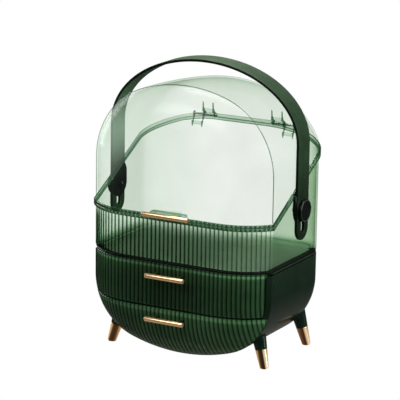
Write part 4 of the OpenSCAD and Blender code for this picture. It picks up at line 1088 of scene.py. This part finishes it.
def hinge_pins():
    sh = Shell()
    for sgn in (-1, 1):
        lathe(sh, [(1.9, 0.0), (2.4, 0.2), (2.6, 0.6), (2.6, 1.6), (1.5, 1.8), (1.5, 38.0), (1.2, 38.3)], frame_at((sgn * 44.2, 112.5, 308.5), (sgn, 0, 0)), 28)
    place(sh.build("hinge_pin_pair", [M_steel], 30), "organizer", ["hinge_pins"])
hinge_pins()

# lid tab
def tab():
    sh = Shell()
    z0, z1 = 211.55, 217.2
    yb, yf = FY + 0.02, FY - 11.0
    w = 27.0
    e = 1.4
    lv = [(e, z0), (e * 0.3, z0 + e * 0.3), (0, z0 + e), (0, z1 - e), (e * 0.3, z1 - e * 0.3), (e, z1)]
    rows = []
    for q, z in lv:
        R = 3.0
        pts = [(-w + q, yb), (-w + q, yf + R)]
        pts = [(-w + q, yb)] + [(-w + R + (R - q) * cos(radians(a)), yf + R + (R - q) * sin(radians(a))) for a in range(180, 271, 15)]
        pts += [(-x, y) for x, y in pts[::-1]]
        rows.append(sh.row([(x, y, z) for x, y in pts]))
    for a, b in zip(rows, rows[1:]): sh.strip(a, b, True)
    sh.face(rows[0][::-1]); sh.face(rows[-1])
    ob = sh.build("lid_tab", [M_tab], 30)
    place(ob, "lid", ["lid_pull_tab"])
tab()

# ------------------------------------------------------------------ materials of the carried-over nodes
for name, mt in {"divider_shelf": M_case, "shelf_rails": M_case, "bottom_rails": M_case, "leg_screws": M_steel,
                 "middle_pull_screws": M_steel, "bottom_pull_screws": M_steel,
                 "pivot_bushes": M_black, "middle_tray": M_tray}.items():
    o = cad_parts.get(name)
    if o is None: continue
    o.data.materials.clear(); o.data.materials.append(mt)

# ------------------------------------------------------------------ floor and light
def floor():
    me = bpy.data.meshes.new("floor")
    s = 9.0
    me.from_pydata([(-s, -s, 0), (s, -s, 0), (s, s, 0), (-s, s, 0)], [], [(0, 1, 2, 3)])
    ob = bpy.data.objects.new("floor", me); scene.collection.objects.link(ob)
    mt, nt, out = new_mat("floor")
    lp = N(nt, "ShaderNodeLightPath")
    d = N(nt, "ShaderNodeBsdfDiffuse"); d.inputs["Color"].default_value = (0.30, 0.30, 0.30, 1)
    e = N(nt, "ShaderNodeEmission", Strength=1.0)
    co = N(nt, "ShaderNodeTexCoord")
    ln = N(nt, "ShaderNodeVectorMath", operation="LENGTH"); L(nt, co.outputs["Object"], ln.inputs[0])
    near = ramp(nt, ln.outputs["Value"], [(0.0, (0.17, 0.165, 0.15)), (0.2, (0.17, 0.165, 0.15)), (0.4, (0.07, 0.07, 0.07)), (1.0, (0.05, 0.05, 0.05))])
    eg = N(nt, "ShaderNodeEmission", Strength=1.0); L(nt, near.outputs["Color"], eg.inputs["Color"])
    g = N(nt, "ShaderNodeMixShader")
    L(nt, lp.outputs["Is Glossy Ray"], g.inputs[0]); L(nt, d.outputs[0], g.inputs[1]); L(nt, eg.outputs[0], g.inputs[2])
    d = g
    a = N(nt, "ShaderNodeMixShader")
    L(nt, lp.outputs["Is Camera Ray"], a.inputs[0]); L(nt, d.outputs[0], a.inputs[1]); L(nt, e.outputs[0], a.inputs[2]); L(nt, a.outputs[0], out.inputs["Surface"])
    me.materials.append(mt)
floor()

def area(name, loc_, target, size, power, color=(1, 1, 1)):
    d = bpy.data.lights.new(name, "AREA")
    d.shape = "RECTANGLE"; d.size, d.size_y = size
    d.energy = power; d.color = color
    o = bpy.data.objects.new(name, d); scene.collection.objects.link(o)
    v = Vector(target) - Vector(loc_)
    o.matrix_world = Matrix.Translation(Vector(loc_)) @ v.to_track_quat("-Z", "Y").to_matrix().to_4x4()
    return o
area("top", (0.0, 0.25, 2.1), (0, 0.05, 0.2), (1.8, 1.3), 40)
area("front_upper", (-0.75, -2.0, 2.0), (0, 0, 0.2), (2.2, 0.9), 22)
area("left", (-2.1, 0.5, 0.75), (0, 0, 0.2), (0.7, 1.6), 26)
area("right", (2.1, 0.75, 0.7), (0, 0, 0.15), (0.6, 1.5), 24)

w = bpy.data.worlds.new("world"); scene.world = w
w.use_nodes = True
wt = w.node_tree
bg = wt.nodes["Background"]
bg.inputs[0].default_value = (1, 1, 1, 1)
lp = wt.nodes.new("ShaderNodeLightPath")
mr = wt.nodes.new("ShaderNodeMapRange")
mr.inputs["To Min"].default_value, mr.inputs["To Max"].default_value = 0.12, 1.0
wt.links.new(lp.outputs["Is Camera Ray"], mr.inputs["Value"])
wt.links.new(mr.outputs["Result"], bg.inputs[1])
scene.view_settings.view_transform = "Standard"
scene.view_settings.look = "None"
scene.cycles.transparent_max_bounces = 48
scene.cycles.max_bounces = 12
